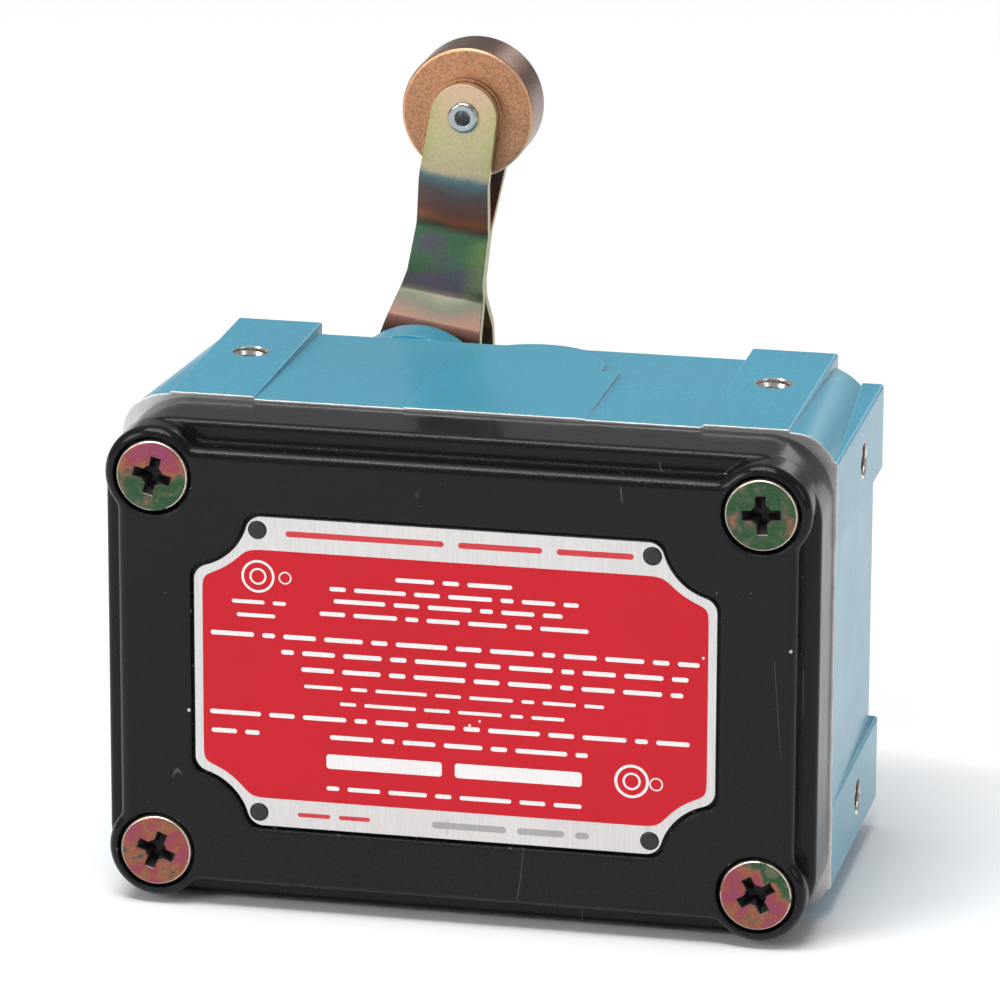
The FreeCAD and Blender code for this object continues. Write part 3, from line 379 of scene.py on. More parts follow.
def coverScrewChromate():
    look = coverScrewLook
    material, board, shader = newFinish("coverScrewChromate")
    where = board.objectPlace()
    x, y, z = board.split(where)
    up = board.minus(z, middleZ * mm)
    ax = board.minus(board.size(x), screwX * mm)
    az = board.minus(board.size(up), screwZ * mm)
    fromCentre = radial(board, ax, az)
    right = board.fadeMm(x, (-0.5, 0.5))
    top = board.fadeMm(up, (-0.5, 0.5))
    # each head has its own share of green: all of the upper right one, the lower half of the upper left
    lowHalf = board.fadeMm(az, (1.5, -1.5))
    topGreen = board.blendValue(right, board.times(lowHalf, 0.42), 0.40)
    corner = board.fadeMm(board.minus(ax, az), (1.5, 5.5))
    lowGreen = board.times(board.times(corner, right), 0.45)
    share = board.blendValue(top, lowGreen, topGreen)
    mottle = board.noise(where, 330.0, 4.0, 0.6, 0.8)
    level = board.plus(board.timesPlus(mottle, 1.45, -0.44), share)
    film = board.ramp(level, look["stops"])
    grain = board.noise(where, 3000.0, 2.0, 0.7)
    film = board.mix(board.times(board.fade(grain, 0.60, 0.80), 0.5), film, look["grain"])
    # a pale rim round each head's edge, broken up by noise, is a painted highlight
    rim = board.times(board.fadeMm(fromCentre, (look["lip"], look["lip"] + 0.12)),
                      board.fade(board.noise(where, 420.0, 3.0), 0.30, 0.42))
    # the cross is painted dark below the head's face as painted shade, with a painted highlight round its
    # mouth
    deep = board.fadeMm(y, (look["faceY"] + 0.12, look["faceY"] + 0.36))
    inside = board.fadeMm(fromCentre, look["crossReach"])
    recessShade = board.times(deep, inside)
    # a painted highlight round the mouth of the cross
    mouth = board.fadeMm(y, (look["faceY"] + 0.03, look["faceY"] + 0.08))
    lip = board.times(board.times(mouth, inside), board.minus(1.0, deep))
    colour = board.mix(board.most(rim, lip, clamp=True), film, look["rim"])
    board.feed(shader["Base Color"], board.mix(recessShade, colour, look["recessShadeColour"]))
    board.feed(shader["Metallic"], board.blendValue(recessShade, 0.92, 0.2))
    rough = board.timesPlus(grain, 0.22, 0.26)
    board.feed(shader["Roughness"], board.blendValue(recessShade, rough, 0.62))
    board.feed(shader["Normal"], board.bump(board.noise(where, 700.0, 4.0, 0.7), 0.18, 0.00008))
    return material


plateLook = {"silver": (0.62, 0.61, 0.60), "roughness": 0.45, "red": (0.48, 0.010, 0.020)}


def plateSilver(name, colour, roughness, metallic=0.75):
    material, board, shader = newFinish(name)
    where = board.objectPlace()
    drawn = board.noise(board.stretch(where, (1.0, 1.0, 0.05)), 5200.0, 3.0, 0.7)
    patches = board.noise(where, 70.0, 2.0)
    level = board.timesPlus(drawn, 0.42, board.timesPlus(patches, 0.14, 0.73))
    marks = board.group(scratches, Place=where, Scale=240.0, Width=0.006, Rarity=0.60)["Mask"]
    tone = board.vector("MULTIPLY", colour, level)
    board.feed(shader["Base Color"], board.mix(board.times(marks, 0.35), tone, (0.38, 0.37, 0.37)))
    board.feed(shader["Metallic"], metallic)
    board.feed(shader["Roughness"], board.timesPlus(drawn, 0.20, roughness - 0.10))
    board.feed(shader["Normal"], board.bump(drawn, 0.20, 0.00004))
    return material


def plateRed():
    material, board, shader = newFinish("plateRedEnamel", Specular_IOR_Level=0.18)
    where = board.objectPlace()
    paint = board.group(tintDrift, Place=where, Colour=plateLook["red"], **{
        "Patch Scale": 60.0, "Patch": 0.05, "Grain Scale": 3600.0, "Grain": 0.12})
    chips = board.group(specks, Place=where, Scale=170.0, Size=0.045, Rarity=0.60)["Mask"]
    board.feed(shader["Base Color"], board.mix(chips, paint["Colour"], (0.72, 0.70, 0.69)))
    board.feed(shader["Roughness"], board.timesPlus(paint["Grain"], 0.16, 0.30))
    board.feed(shader["Normal"], board.bump(board.noise(where, 2200.0, 2.0), 0.10, 0.00004))
    return material


leverLook = {
    # distance below the roller axis in millimetres, and the chromate film's colour there
    "bands": [(-5.5, (0.66, 0.44, 0.32)), (-1.5, (0.60, 0.45, 0.28)), (4.0, (0.52, 0.46, 0.25)),
              (8.2, (0.50, 0.41, 0.26)), (9.4, (0.24, 0.27, 0.25)), (10.4, (0.21, 0.205, 0.19)),
              (12.0, (0.20, 0.13, 0.12)), (15.2, (0.25, 0.11, 0.085)), (16.9, (0.44, 0.15, 0.085)),
              (18.0, (0.20, 0.13, 0.085)), (19.2, (0.11, 0.20, 0.10)), (23.0, (0.13, 0.22, 0.11)),
              (26.5, (0.11, 0.15, 0.075)), (29.5, (0.075, 0.075, 0.055)), (32.4, (0.17, 0.080, 0.062)),
              (34.8, (0.17, 0.10, 0.07)), (38.0, (0.15, 0.13, 0.08)), (51.0, (0.44, 0.37, 0.21))],
    # the edge colour is the painted highlight on the sheet edges, and also the colour of worn edges
    "edge": (0.50, 0.48, 0.28), "purple": (0.20, 0.125, 0.17), "lime": (0.36, 0.40, 0.12),
}


def leverChromate():
    look = leverLook
    material, board, shader = newFinish("leverChromate")
    where = board.objectPlace()
    fromShaft = board.vector("SUBTRACT", where, (shaftPlace[0] * mm, 0.0, shaftPlace[1] * mm))
    widthways = (math.cos(leverLean), 0.0, -math.sin(leverLean))
    across = board.vector("DOT_PRODUCT", fromShaft, widthways)
    along = board.vector("DOT_PRODUCT", fromShaft, (math.sin(leverLean), 0.0, math.cos(leverLean)))
    drop = board.minus(leverLength * mm, along)
    wobble = board.minus(board.noise(where, 190.0, 3.0, 0.55), 0.5)
    bowed = board.times(board.times(across, across), 22.0)
    drop = board.plus(board.timesPlus(wobble, 3.2 * mm, drop), bowed)
    first, last = look["bands"][0][0], look["bands"][-1][0]
    place = board.calc("DIVIDE", board.minus(drop, first * mm), (last - first) * mm)
    stops = [((d - first) / (last - first), colour) for d, colour in look["bands"]]
    film = board.ramp(place, stops)
    # purple clouds in the waist, and yellow-green drifting along both edges
    cloud = board.noise(where, 150.0, 2.0, 0.5, 0.4)
    waist = board.times(board.fadeMm(drop, (19.0, 20.5)), board.fadeMm(drop, (29.0, 26.5)))
    clouds = board.times(board.fade(cloud, 0.46, 0.58), waist)
    film = board.mix(board.times(clouds, 0.8), film, look["purple"])
    side = board.fadeMm(board.size(across), (3.0, 5.4))
    rightSide = board.fadeMm(across, (1.8, 5.0))
    green = board.times(side, board.fadeMm(drop, (9.2, 7.0)))
    green = board.most(green, board.times(board.times(rightSide, waist), 0.9))
    film = board.mix(board.times(green, 0.6), film, look["lime"])
    grain = board.noise(where, 2600.0, 3.0, 0.75)
    film = board.vector("MULTIPLY", film, board.timesPlus(grain, 0.7, 0.65))
    # the sheet's edges, facing across the lever, are painted bright as a painted highlight, with the worn
    # edge line added on top
    turned = board.vector("DOT_PRODUCT", board.objectNormal(), widthways)
    sheetEdgeHighlight = board.fade(board.size(turned), 0.55, 0.8)
    wear = board.group(edgeWear, Place=where, Radius=0.00018, Breaks=1200.0, Keep=0.40)
    wornEdgeAndHighlight = board.most(board.times(sheetEdgeHighlight, 0.7), board.times(wear["Line"], 0.32), clamp=True)
    board.feed(shader["Base Color"], board.mix(wornEdgeAndHighlight, film, look["edge"]))
    board.feed(shader["Metallic"], 0.80)
    board.feed(shader["Roughness"], board.timesPlus(grain, 0.20, 0.28))
    rolled = board.bump(board.noise(where, 900.0, 4.0, 0.7), 0.16, 0.00007, wear["Soft Normal"])
    board.feed(shader["Normal"], rolled)
    return material


rollerLook = {
    # worn is the colour of the bright edges, part painted highlight ring and part wear
    "face": (0.47, 0.235, 0.125), "rim": (0.17, 0.075, 0.045), "worn": (0.85, 0.50, 0.30),
    "pore": (0.12, 0.055, 0.035), "glint": (0.95, 0.66, 0.44), "highlightRingFrom": (9.0, 9.25),
}


def rollerBronze():
    look = rollerLook
    material, board, shader = newFinish("rollerBronze")
    where = board.objectPlace()
    x, _, z = board.split(where)
    out = radial(board, board.minus(x, rollerPlace[0] * mm), board.minus(z, rollerPlace[1] * mm))
    facing = board.size(board.split(board.objectNormal())[1])
    face = board.fade(facing, 0.45, 0.8)
    grit = board.noise(where, 2300.0, 3.0, 0.75)
    tone = board.group(tintDrift, Place=where, Colour=look["face"], **{
        "Patch Scale": 160.0, "Patch": 0.14, "Grain Scale": 2300.0, "Grain": 0.75})["Colour"]
    pores = board.group(specks, Place=where, Scale=1500.0, Size=0.30, Rarity=0.50)["Mask"]
    glints = board.group(specks, Place=where, Scale=1900.0, Size=0.22, Rarity=0.58)["Mask"]
    tone = board.mix(board.times(pores, 0.55), tone, look["pore"])
    tone = board.mix(board.times(glints, 0.6), tone, look["glint"])
    rim = board.group(tintDrift, Place=where, Colour=look["rim"], **{
        "Patch Scale": 300.0, "Patch": 0.5, "Grain Scale": 1400.0, "Grain": 0.5})["Colour"]
    colour = board.mix(face, rim, tone)
    # the rounded edges are painted bright: a painted highlight ring on the outer one, and wear along every
    # edge
    wear = board.group(edgeWear, Place=where, Radius=0.00045, Breaks=600.0, Keep=0.35)
    outerHighlightRing = board.times(board.fadeMm(out, look["highlightRingFrom"]), board.fade(facing, 0.12, 0.35))
    wornEdgeAndHighlight = board.most(board.times(outerHighlightRing, 0.55), board.times(wear["Line"], 0.35), clamp=True)
    board.feed(shader["Base Color"], board.mix(wornEdgeAndHighlight, colour, look["worn"]))
    board.feed(shader["Metallic"], 0.85)
    board.feed(shader["Roughness"], board.blendValue(face, board.timesPlus(grit, 0.2, 0.16),
                                                     board.timesPlus(grit, 0.24, 0.34)))
    board.feed(shader["Normal"], board.bump(grit, 0.30, 0.00006))
    return material


# Smaller metals and mouldings share one recipe: base colour drift, grain stretched along Y, edge wear
smallFinishes = {
    "bushingBronze": {
        "nodes": ["shaft_bushing"],
        "colour": (0.72, 0.56, 0.36), "wear": (0.95, 0.82, 0.62),
        "metallic": 0.95, "roughness": 0.24, "grain": 0.25,
    },
    "sealRubber": {
        "nodes": ["shaft_seal"],
        "colour": (0.012, 0.012, 0.013), "wear": (0.05, 0.05, 0.05),
        "metallic": 0.0, "roughness": 0.62, "grain": 0.4,
    },
    "groundSteel": {
        "nodes": ["actuator_shaft"],
        "colour": (0.58, 0.58, 0.59), "wear": (0.85, 0.85, 0.85),
        "metallic": 1.0, "roughness": 0.22, "grain": 0.2,
    },
    "springSteel": {
        "nodes": ["shaft_retaining_ring"],
        "colour": (0.10, 0.10, 0.105), "wear": (0.45, 0.45, 0.45),
        "metallic": 0.9, "roughness": 0.4, "grain": 0.3,
    },
    "hubChromate": {
        "nodes": ["lever_hub", "hub_lock_washer", "hub_nut"],
        "colour": (0.55, 0.46, 0.24), "wear": (0.85, 0.78, 0.58),
        "metallic": 0.9, "roughness": 0.33, "grain": 0.45,
    },
    "rivetZinc": {
        "nodes": ["roller_rivet"],
        "colour": (0.36, 0.39, 0.39), "wear": (0.80, 0.83, 0.84),
        "metallic": 1.0, "roughness": 0.22, "grain": 0.25,
    },
    "innerZinc": {
        "nodes": ["switch_bracket"],
        "colour": (0.60, 0.61, 0.62), "wear": (0.82, 0.83, 0.84),
        "metallic": 0.95, "roughness": 0.34, "grain": 0.3,
    },
    "camSteel": {
        "nodes": ["cam"],
        "colour": (0.40, 0.39, 0.38), "wear": (0.75, 0.74, 0.72),
        "metallic": 1.0, "roughness": 0.32, "grain": 0.35,
    },
    "blackOxide": {
        "nodes": ["cam_set_screw", "spring_anchor_pin"],
        "colour": (0.035, 0.035, 0.038), "wear": (0.30, 0.30, 0.30),
        "metallic": 0.7, "roughness": 0.42, "grain": 0.35,
    },
    "springWire": {
        "nodes": ["return_spring"],
        "colour": (0.45, 0.45, 0.46), "wear": (0.7, 0.7, 0.7),
        "metallic": 1.0, "roughness": 0.26, "grain": 0.3,
    },
    "phenolicBrown": {
        "nodes": ["switch_case", "switch_case_cover"],
        "colour": (0.030, 0.018, 0.014), "wear": (0.09, 0.06, 0.05),
        "metallic": 0.0, "roughness": 0.38, "grain": 0.6,
    },
    "plungerRed": {
        "nodes": ["switch_plunger"],
        "colour": (0.34, 0.030, 0.022), "wear": (0.5, 0.12, 0.1),
        "metallic": 0.0, "roughness": 0.36, "grain": 0.2,
    },
    "contactCopper": {
        "nodes": ["snap_blade"],
        "colour": (0.72, 0.36, 0.20), "wear": (0.9, 0.6, 0.45),
        "metallic": 1.0, "roughness": 0.28, "grain": 0.3,
    },
    "terminalBrass": {
        "nodes": ["common_terminal", "normally_closed_terminal", "normally_open_terminal"],
        "colour": (0.70, 0.50, 0.20), "wear": (0.92, 0.78, 0.45),
        "metallic": 1.0, "roughness": 0.30, "grain": 0.3,
    },
    "smallScrewZinc": {
        "nodes": ["terminal_screws", "switch_screws", "bracket_screws"],
        "colour": (0.58, 0.60, 0.61), "wear": (0.88, 0.88, 0.88),
        "metallic": 1.0, "roughness": 0.28, "grain": 0.3,
    },
    "groundGreen": {
        "nodes": ["ground_screw"],
        "colour": (0.020, 0.19, 0.06), "wear": (0.45, 0.52, 0.42),
        "metallic": 0.25, "roughness": 0.34, "grain": 0.3,
    },
    "pinBlack": {
        "nodes": ["nameplate_pins"],
        "colour": (0.010, 0.010, 0.011), "wear": (0.10, 0.10, 0.10),
        "metallic": 0.1, "roughness": 0.36, "grain": 0.5,
    },
}


def smallFinish(name, look):
    material, board, shader = newFinish(name)
    where = board.objectPlace()
    base = board.group(tintDrift, Place=where, Colour=look["colour"], **{
        "Patch Scale": 220.0, "Patch": 0.14, "Grain Scale": 2600.0, "Grain": look["grain"]})
    drawn = board.noise(board.stretch(where, (1.0, 0.08, 1.0)), 2400.0, 2.0)
    wear = board.group(edgeWear, Place=where, Radius=0.00022, Breaks=900.0, Keep=0.42)
    board.feed(shader["Base Color"], board.mix(board.times(wear["Line"], 0.5), base["Colour"], look["wear"]))
    board.feed(shader["Metallic"], look["metallic"])
    board.feed(shader["Roughness"], board.timesPlus(drawn, 0.20, look["roughness"] - 0.08))
    board.feed(shader["Normal"], board.bump(base["Grain"], 0.14, 0.00004, wear["Soft Normal"]))
    return material


paint = housingPaint()
assign(paint, "housing")
assign(coverPaint(), "cover")
assign(coverScrewChromate(), "cover_screws")
silver = plateSilver("plateSilver", plateLook["silver"], plateLook["roughness"])
assign(silver, "nameplate")
chromate = leverChromate()
assign(chromate, "lever_front_plate", "lever_rear_plate")
assign(rollerBronze(), "roller")
for finishName, finishLook in smallFinishes.items():
    assign(smallFinish(finishName, finishLook), *finishLook["nodes"])
print("finishes:", len(bpy.data.materials))


# New pieces

def gridMesh(points, name, material, smooth=True, loop=True, centre=None):
    # rows of points joined into quads; each row closes on itself, and a centre point closes the last row
    rows, count = points.shape[:2]
    index = np.arange(rows * count).reshape(rows, count)
    here, beside = index, np.roll(index, -1, axis=1)
    if not loop:
        here, beside = index[:, :-1], index[:, 1:]
    quads = np.stack([here[:-1], beside[:-1], beside[1:], here[1:]], axis=-1).reshape(-1, 4)
    verts = points.reshape(-1, 3)
    faces = quads.tolist()
    if centre is not None:
        verts = np.vstack([verts, centre])
        tip = np.full(count, rows * count)
        faces += np.stack([here[-1], beside[-1], tip], axis=-1).tolist()
    return makeObject(name, verts, faces, material, smooth)


def makeObject(name, verts, faces, material, smooth=True):
    mesh = bpy.data.meshes.new(name)
    mesh.from_pydata((np.asarray(verts) * mm).tolist(), [], faces)
    mesh.materials.append(material)
    mesh.polygons.foreach_set("use_smooth", np.full(len(mesh.polygons), smooth))
    mesh.update()
    piece = bpy.data.objects.new(name, mesh)
    bpy.context.scene.collection.objects.link(piece)
    return piece


fieldLook = {
    "halfWidth": 36.3, "halfHeight": 22.2, "border": 1.15, "top": 17.5, "bottom": 18.2,
    "notch": 8.6, "notchOut": 0.85, "cornerRound": 0.55, "faceY": -36.65, "film": 0.05, "edge": 0.10,
    "count": 720,
}


def fieldReach(angle):
    # how far the printed field runs from its middle in each direction: the field is the largest of the
    # side, top, bottom and four corner-notch distances, with their joins rounded, and halving finds
    # where it is zero
    look = fieldLook
    across, up = np.cos(angle), np.sin(angle)
    near, far = np.zeros_like(angle), np.full_like(angle, 60.0)
    k = look["cornerRound"]
    for _ in range(40):
        reach = (near + far) / 2
        x, z = np.abs(reach * across), reach * up
        side = x - (look["halfWidth"] - look["border"])
        top = z - look["top"]
        bottom = -z - look["bottom"]
        notch = look["notch"] + look["border"] - np.hypot(x - look["halfWidth"] - look["notchOut"],
                                                          np.abs(z) - look["halfHeight"] - look["notchOut"])
        together = k * np.logaddexp(np.logaddexp(side / k, top / k), np.logaddexp(bottom / k, notch / k))
        outside = together > 0
        far = np.where(outside, reach, far)
        near = np.where(outside, near, reach)
    return (near + far) / 2


def makeField():
    # rings of the outline shrunk towards the middle, the outermost one dropping over a small rounded edge
    look = fieldLook
    angle = np.linspace(0.0, 2 * np.pi, look["count"], endpoint=False)
    reach = fieldReach(angle)
    steps = [(0.0, 0.0), (look["edge"] * 0.3, look["film"] * 0.75), (look["edge"], look["film"])]
    inner = reach - look["edge"]
    outlines = [(reach - inset, rise) for inset, rise in steps]
    outlines += [(inner * share, look["film"]) for share in (0.66, 0.33)]
    points = np.stack([np.stack([r * np.cos(angle), np.full_like(r, look["faceY"] - rise),
                                 middleZ + r * np.sin(angle)], -1) for r, rise in outlines])
    middle = (0.0, look["faceY"] - look["film"], middleZ)
    return gridMesh(points, "nameField", plateRed(), smooth=False, centre=middle)


# Plain bars and rings stand where a plate of this kind has its print
# each row: left end, right end, height above the middle, bar thickness
printRows = {
    "field": [(-8.1, 8.1, 14.5, 0.62), (-17.3, 17.3, 12.6, 0.62), (-16.7, 15.1, 10.9, 0.62),
              (-18.7, 18.7, 9.0, 0.62),
              (-34.0, 34.0, 5.3, 0.66), (-24.1, 34.2, 3.1, 0.66), (-21.3, 31.8, 0.8, 0.66),
              (-20.9, 20.9, -1.6, 0.5), (-15.9, 15.9, -3.8, 0.5),
              (-34.2, 34.0, -6.1, 0.66), (-34.0, -27.2, -8.8, 0.66), (-17.3, 18.7, -8.7, 0.66),
              (-17.8, 17.9, -16.1, 0.62), (-31.0, -23.4, 10.0, 0.55), (-30.3, -24.0, 8.1, 0.55)],
    "title": [(-17.8, 17.9, -12.2, 2.1)],
    "header": [(-23.4, 24.8, 20.0, 0.85)],
    "footer": [(-21.9, -11.7, -20.3, 0.62)],
    "stamped": [(-3.0, 19.3, -20.3, 0.95)],
}
printWords = {
    "field": ((5.4, 2.3, 7.2, 3.6, 6.1, 1.8, 4.6), 1.15), "title": ((16.2, 17.7), 1.8),
    "header": ((22.0, 11.6, 10.6), 2.0), "footer": ((4.6, 4.4), 1.2), "stamped": ((10.4, 6.6, 1.9), 1.5),
}
printRings = [(-27.3, 13.7, 2.15, 0.34), (-27.3, 13.7, 1.05, 0.28), (-23.5, 13.7, 0.8, 0.2),
              (24.8, -11.9, 2.2, 0.4), (24.8, -11.9, 1.1, 0.3), (28.2, -12.1, 0.85, 0.2)]


def wordSpans(kind):
    # word lengths follow one another with a gap, over and over, and are cut off at each row's right end
    lengths, gap = printWords[kind]
    spans = []
    for row, (left, right, up, thick) in enumerate(printRows[kind]):
        sizes = np.roll(np.array(lengths), -row)
        sizes = np.tile(sizes, 20)
        ends = left + np.cumsum(sizes + gap) - gap
        starts = ends - sizes
        ends = np.minimum(ends, right)
        keep = ends - starts > thick * 1.2
        level, tall = np.full(keep.sum(), up), np.full(keep.sum(), thick)
        spans.append(np.stack([starts[keep], ends[keep], level, tall], -1))
    return np.vstack(spans)


def makeBars(kind, name, material, faceY, rise):
    # each bar is a rectangle with quarter-circle corners, raised from the plate by a rounded edge
    spans = wordSpans(kind)
    turn = np.linspace(0.0, 2 * np.pi, 24, endpoint=False)
    start, end, up, thick = (spans[:, i, None] for i in range(4))
    verts = []
    count = len(turn)
    for shrink, lift in ((0.0, 0.0), (0.04, rise * 0.7), (0.12, rise)):
        r = np.minimum(thick / 2, 0.45)
        half = (end - start) / 2 - r
        tall = thick / 2 - r
        x = (start + end) / 2 + np.sign(np.cos(turn)) * half + (r - shrink) * np.cos(turn)
        z = middleZ + up + np.sign(np.sin(turn)) * tall + (r - shrink) * np.sin(turn)
        verts.append(np.stack([x, np.full_like(x, faceY - lift), z], -1))
    verts = np.stack(verts, axis=1)
    bars = len(spans)
    index = np.arange(bars * 3 * count).reshape(bars, 3, count)
    beside = np.roll(index, -1, axis=2)
    quads = np.stack([index[:, :-1], beside[:, :-1], beside[:, 1:], index[:, 1:]], -1).reshape(-1, 4)
    faces = quads.tolist() + index[:, -1].tolist()
    return makeObject(name, verts.reshape(-1, 3), faces, material, False)


def makeRings(name, material, faceY, rise):
    # a flat-topped hoop: a circle of the ring's radius carrying a small raised section
    turn = np.linspace(0.0, 2 * np.pi, 72, endpoint=False)
    verts, faces = [], []
    for number, (x, up, radius, width) in enumerate(printRings):
        section = [(width / 2, 0.0), (width / 2 - 0.04, rise), (-width / 2 + 0.04, rise), (-width / 2, 0.0)]
        rows = [np.stack([x + (radius + out) * np.cos(turn), np.full_like(turn, faceY - lift),
                          middleZ + up + (radius + out) * np.sin(turn)], -1) for out, lift in section]
        index = np.arange(4 * len(turn)).reshape(4, -1) + number * 4 * len(turn)
        beside = np.roll(index, -1, axis=1)
        faces += np.stack([index[:-1], beside[:-1], beside[1:], index[1:]], -1).reshape(-1, 4).tolist()
        verts.append(np.vstack(rows))
    return makeObject(name, np.vstack(verts), faces, material, False)


printSilver = plateSilver("printSilver", (0.74, 0.72, 0.71), 0.45, 0.35)
printGrey = plateSilver("stampedGrey", (0.36, 0.355, 0.35), 0.5, 0.7)
fieldTop = fieldLook["faceY"] - fieldLook["film"]


def printRed():
    material, board, shader = newFinish("printRed")
    where = board.objectPlace()
    ink = board.group(tintDrift, Place=where, Colour=(0.50, 0.022, 0.03), **{
        "Patch Scale": 400.0, "Patch": 0.2, "Grain Scale": 3000.0, "Grain": 0.3})
    board.feed(shader["Base Color"], ink["Colour"])
    board.feed(shader["Roughness"], board.timesPlus(ink["Grain"], 0.2, 0.35))
    return material


redInk = printRed()
platePieces = [
    makeField(),
    makeBars("field", "fieldBars", printSilver, fieldTop, 0.012),
    makeBars("title", "fieldTitleBars", printSilver, fieldTop, 0.014),
    makeRings("fieldRings", printSilver, fieldTop, 0.012),
    makeBars("header", "headerBars", redInk, fieldLook["faceY"], 0.012),
    makeBars("footer", "footerBars", redInk, fieldLook["faceY"], 0.012),
    makeBars("stamped", "stampedBars", printGrey, fieldLook["faceY"], 0.012),
]
for piece in platePieces:
    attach(piece, "enclosure")
print("nameplate print:", len(platePieces), "pieces")


threadLook = {
    "radius": 2.535, "cut": 0.24, "pitch": 1.27, "lead": 0.5, "depth": 8.0, "tip": 8.4,
    "rows": 150, "around": 48,
}
conduitLook = {
    "radius": 9.27, "cut": 0.6, "pitch": 1.814, "lead": 0.9, "depth": 11.2, "tip": None,
    "rows": 130, "around": 120,
}


def threadPoints(look):
    # across the hole the wall is a helix of V grooves: the radius is the hole's, less a triangle wave of
    # the depth less the turn, and the wave grows from nothing at the mouth and dies away at the inner end
    depth = np.linspace(0.0, look["depth"], look["rows"])[:, None]
    turn = np.linspace(0.0, 2 * np.pi, look["around"], endpoint=False)[None, :]
    wave = np.abs(((depth / look["pitch"] - turn / (2 * np.pi)) % 1.0) * 2 - 1)
    grow = np.clip(depth / look["lead"], 0, 1) * np.clip((look["depth"] - depth) / look["lead"], 0, 1)
    radius = look["radius"] - look["cut"] * wave * grow
    return depth + 0 * turn, radius * np.cos(turn), radius * np.sin(turn)


def makeThreads(name, material, look, holes):
    # one wall per hole, laid from its mouth along its own direction, and closed by a shallow drill point
    # unless the hole has no tip because it goes right through
    depth, a, b = threadPoints(look)
    rows, count = depth.shape
    index = np.arange(rows * count).reshape(rows, count)
    beside = np.roll(index, -1, axis=1)
    quads = np.stack([index[:-1], index[1:], beside[1:], beside[:-1]], -1).reshape(-1, 4)
    fan = np.stack([index[-1], np.full(count, rows * count), beside[-1]], -1)
    verts, faces = [], []
    vertCount = 0
    for mouth, inward in holes:
        mouth, inward = np.array(mouth), np.array(inward)
        first = np.array((0.0, 1.0, 0.0))
        second = np.cross(inward, first)
        wall = mouth + depth[..., None] * inward + a[..., None] * first + b[..., None] * second
        faces += (quads + vertCount).tolist()
        verts.append(wall.reshape(-1, 3))
        vertCount += rows * count
        if look["tip"]:
            faces += (fan + vertCount - rows * count).tolist()
            verts.append((mouth + look["tip"] * inward)[None, :])
            vertCount += 1
    return makeObject(name, np.vstack(verts), faces, material)


def threadMetal():
    material, board, shader = newFinish("tappedMetal")
    where = board.objectPlace()
    tone = board.group(tintDrift, Place=where, Colour=(0.66, 0.64, 0.61), **{
        "Patch Scale": 500.0, "Patch": 0.3, "Grain Scale": 2500.0, "Grain": 0.3})
    board.feed(shader["Base Color"], tone["Colour"])
    board.feed(shader["Metallic"], 0.95)
    board.feed(shader["Roughness"], board.timesPlus(tone["Grain"], 0.2, 0.18))
    return material


sides = [(sx, sz) for sx in (-1, 1) for sz in (-1, 1)]
tappedHoles = [((sx * holeX, 0.0, middleZ + sz * padZ), (0.0, 0.0, -float(sz))) for sx, sz in sides]
tappedHoles += [((padX, 0.0, middleZ + sz * holeZ), (-1.0, 0.0, 0.0)) for sz in (-1, 1)]
cutMetal = threadMetal()
tapped = makeThreads("tappedThreads", cutMetal, threadLook, tappedHoles)
conduit = makeThreads("conduitThread", cutMetal, conduitLook, [((-padX, 0.0, middleZ), (1.0, 0.0, 0.0))])
for piece in (tapped, conduit):
    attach(piece, "enclosure")
print("threads:", len(tappedHoles) + 1, "holes")


# Floor, light and camera

floorLook = {"half": 4.0, "drop": 0.05, "colour": (0.86, 0.86, 0.865)}


def makeFloor():
    # a flat square grid just under the feet
    look = floorLook
    line = np.linspace(-look["half"], look["half"], 9) / mm
    x, y = np.meshgrid(line, line)
    points = np.stack([x, y, np.full_like(x, -look["drop"])], -1)
    material, board, shader = newFinish("paleFloor")
    where = board.objectPlace()
    tone = board.group(tintDrift, Place=where, Colour=look["colour"], **{
        "Patch Scale": 3.0, "Patch": 0.01, "Grain Scale": 900.0, "Grain": 0.01})
    board.feed(shader["Base Color"], tone["Colour"])
    board.feed(shader["Roughness"], board.timesPlus(tone["Grain"], 0.1, 0.6))
    floor = gridMesh(points, "floor", material, loop=False)


makeFloor()

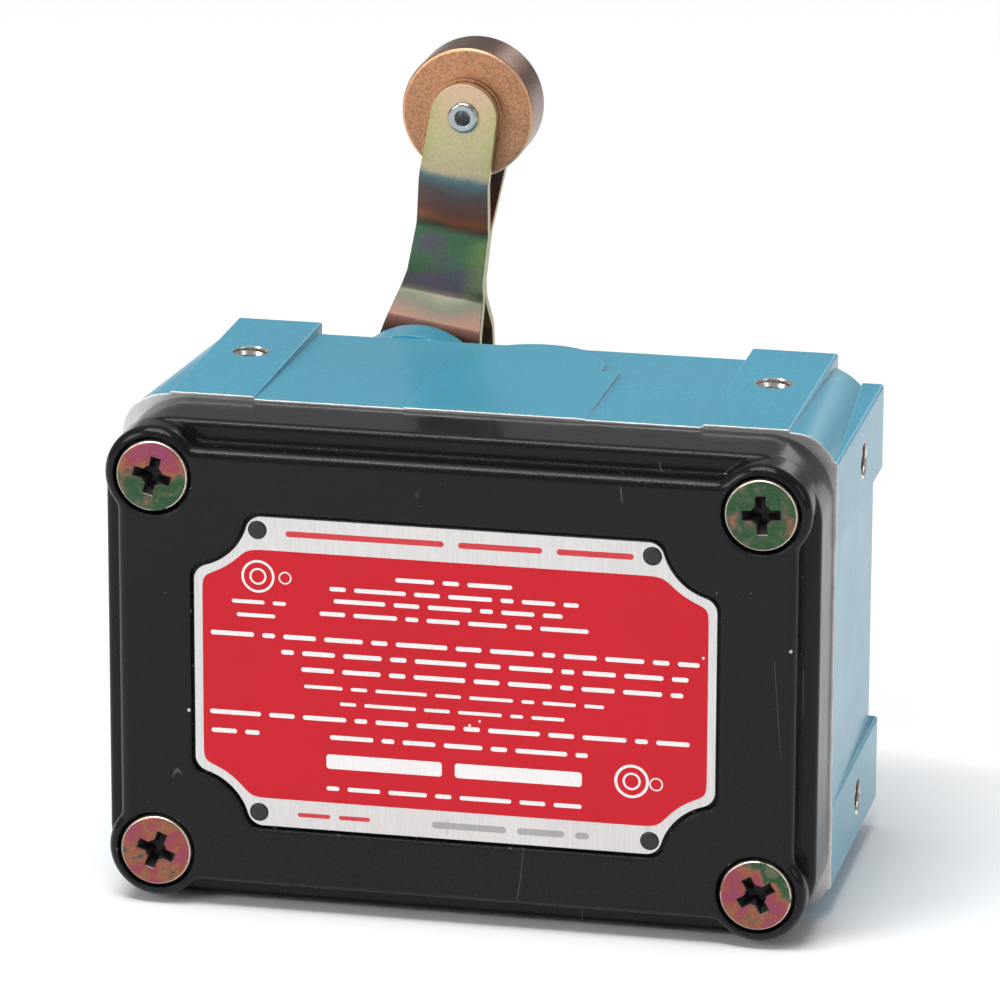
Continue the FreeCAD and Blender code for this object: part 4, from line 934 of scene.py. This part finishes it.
lightAim = (0.0, 0.0, 0.05)
lightLook = {
    "skySoft": {"kind": "SUN", "place": (-0.18, -0.22, 1.60), "angle": 38.0, "power": 1.5},
    "topStrip": {"place": (-0.15, -0.50, 1.20), "size": 0.9, "narrow": 0.06, "power": 7.2},
    "frontLeft": {"place": (-1.3, -1.5, 0.9), "size": 0.8, "power": 18.0},
    "rightSheen": {"place": (1.5, -0.7, 0.7), "size": 0.7, "power": 3.0},
    "backRim": {"place": (0.5, 1.6, 0.9), "size": 0.8, "power": 3.5},
}
for lightName, look in lightLook.items():
    lamp = bpy.data.lights.new(lightName, look.get("kind", "AREA"))
    if lamp.type == "SUN":
        lamp.angle = math.radians(look["angle"])
    else:
        lamp.shape = "RECTANGLE"
        lamp.size = look["size"]
        lamp.size_y = look.get("narrow", look["size"])
    lamp.energy = look["power"]
    holder = bpy.data.objects.new(lightName, lamp)
    holder.location = look["place"]
    holder.rotation_mode = "QUATERNION"
    holder.rotation_quaternion = (Vector(lightAim) - Vector(look["place"])).to_track_quat("-Z", "Y")
    bpy.context.scene.collection.objects.link(holder)

worldLook = {"colour": (0.98, 0.99, 1.0), "strength": 0.34}
world = bpy.data.worlds.new("studio")
world.use_nodes = True
worldBoard = Board(world.node_tree)
background = world.node_tree.nodes["Background"]
worldBoard.feed(background.inputs["Color"], worldLook["colour"])
worldBoard.feed(background.inputs["Strength"], worldLook["strength"])
bpy.context.scene.world = world
bpy.context.scene.view_settings.view_transform = "Standard"

cameraLook = {
    "place": (0.1939, -0.9199, 0.3348), "aim": (-0.00138, -0.00016, 0.05044),
    "roll": 0.21, "lens": 252.0,    # degrees, millimetres
}
camera = bpy.data.objects.new("camera", bpy.data.cameras.new("camera"))
camera.data.lens = cameraLook["lens"]
camera.data.clip_start = 0.02
camera.data.clip_end = 30.0
camera.location = cameraLook["place"]
camera.rotation_mode = "QUATERNION"
facing = (Vector(cameraLook["aim"]) - Vector(cameraLook["place"])).to_track_quat("-Z", "Y")
camera.rotation_quaternion = facing @ Quaternion((0.0, 0.0, 1.0), math.radians(cameraLook["roll"]))
bpy.context.scene.collection.objects.link(camera)
bpy.context.scene.camera = camera
print("stage ready")
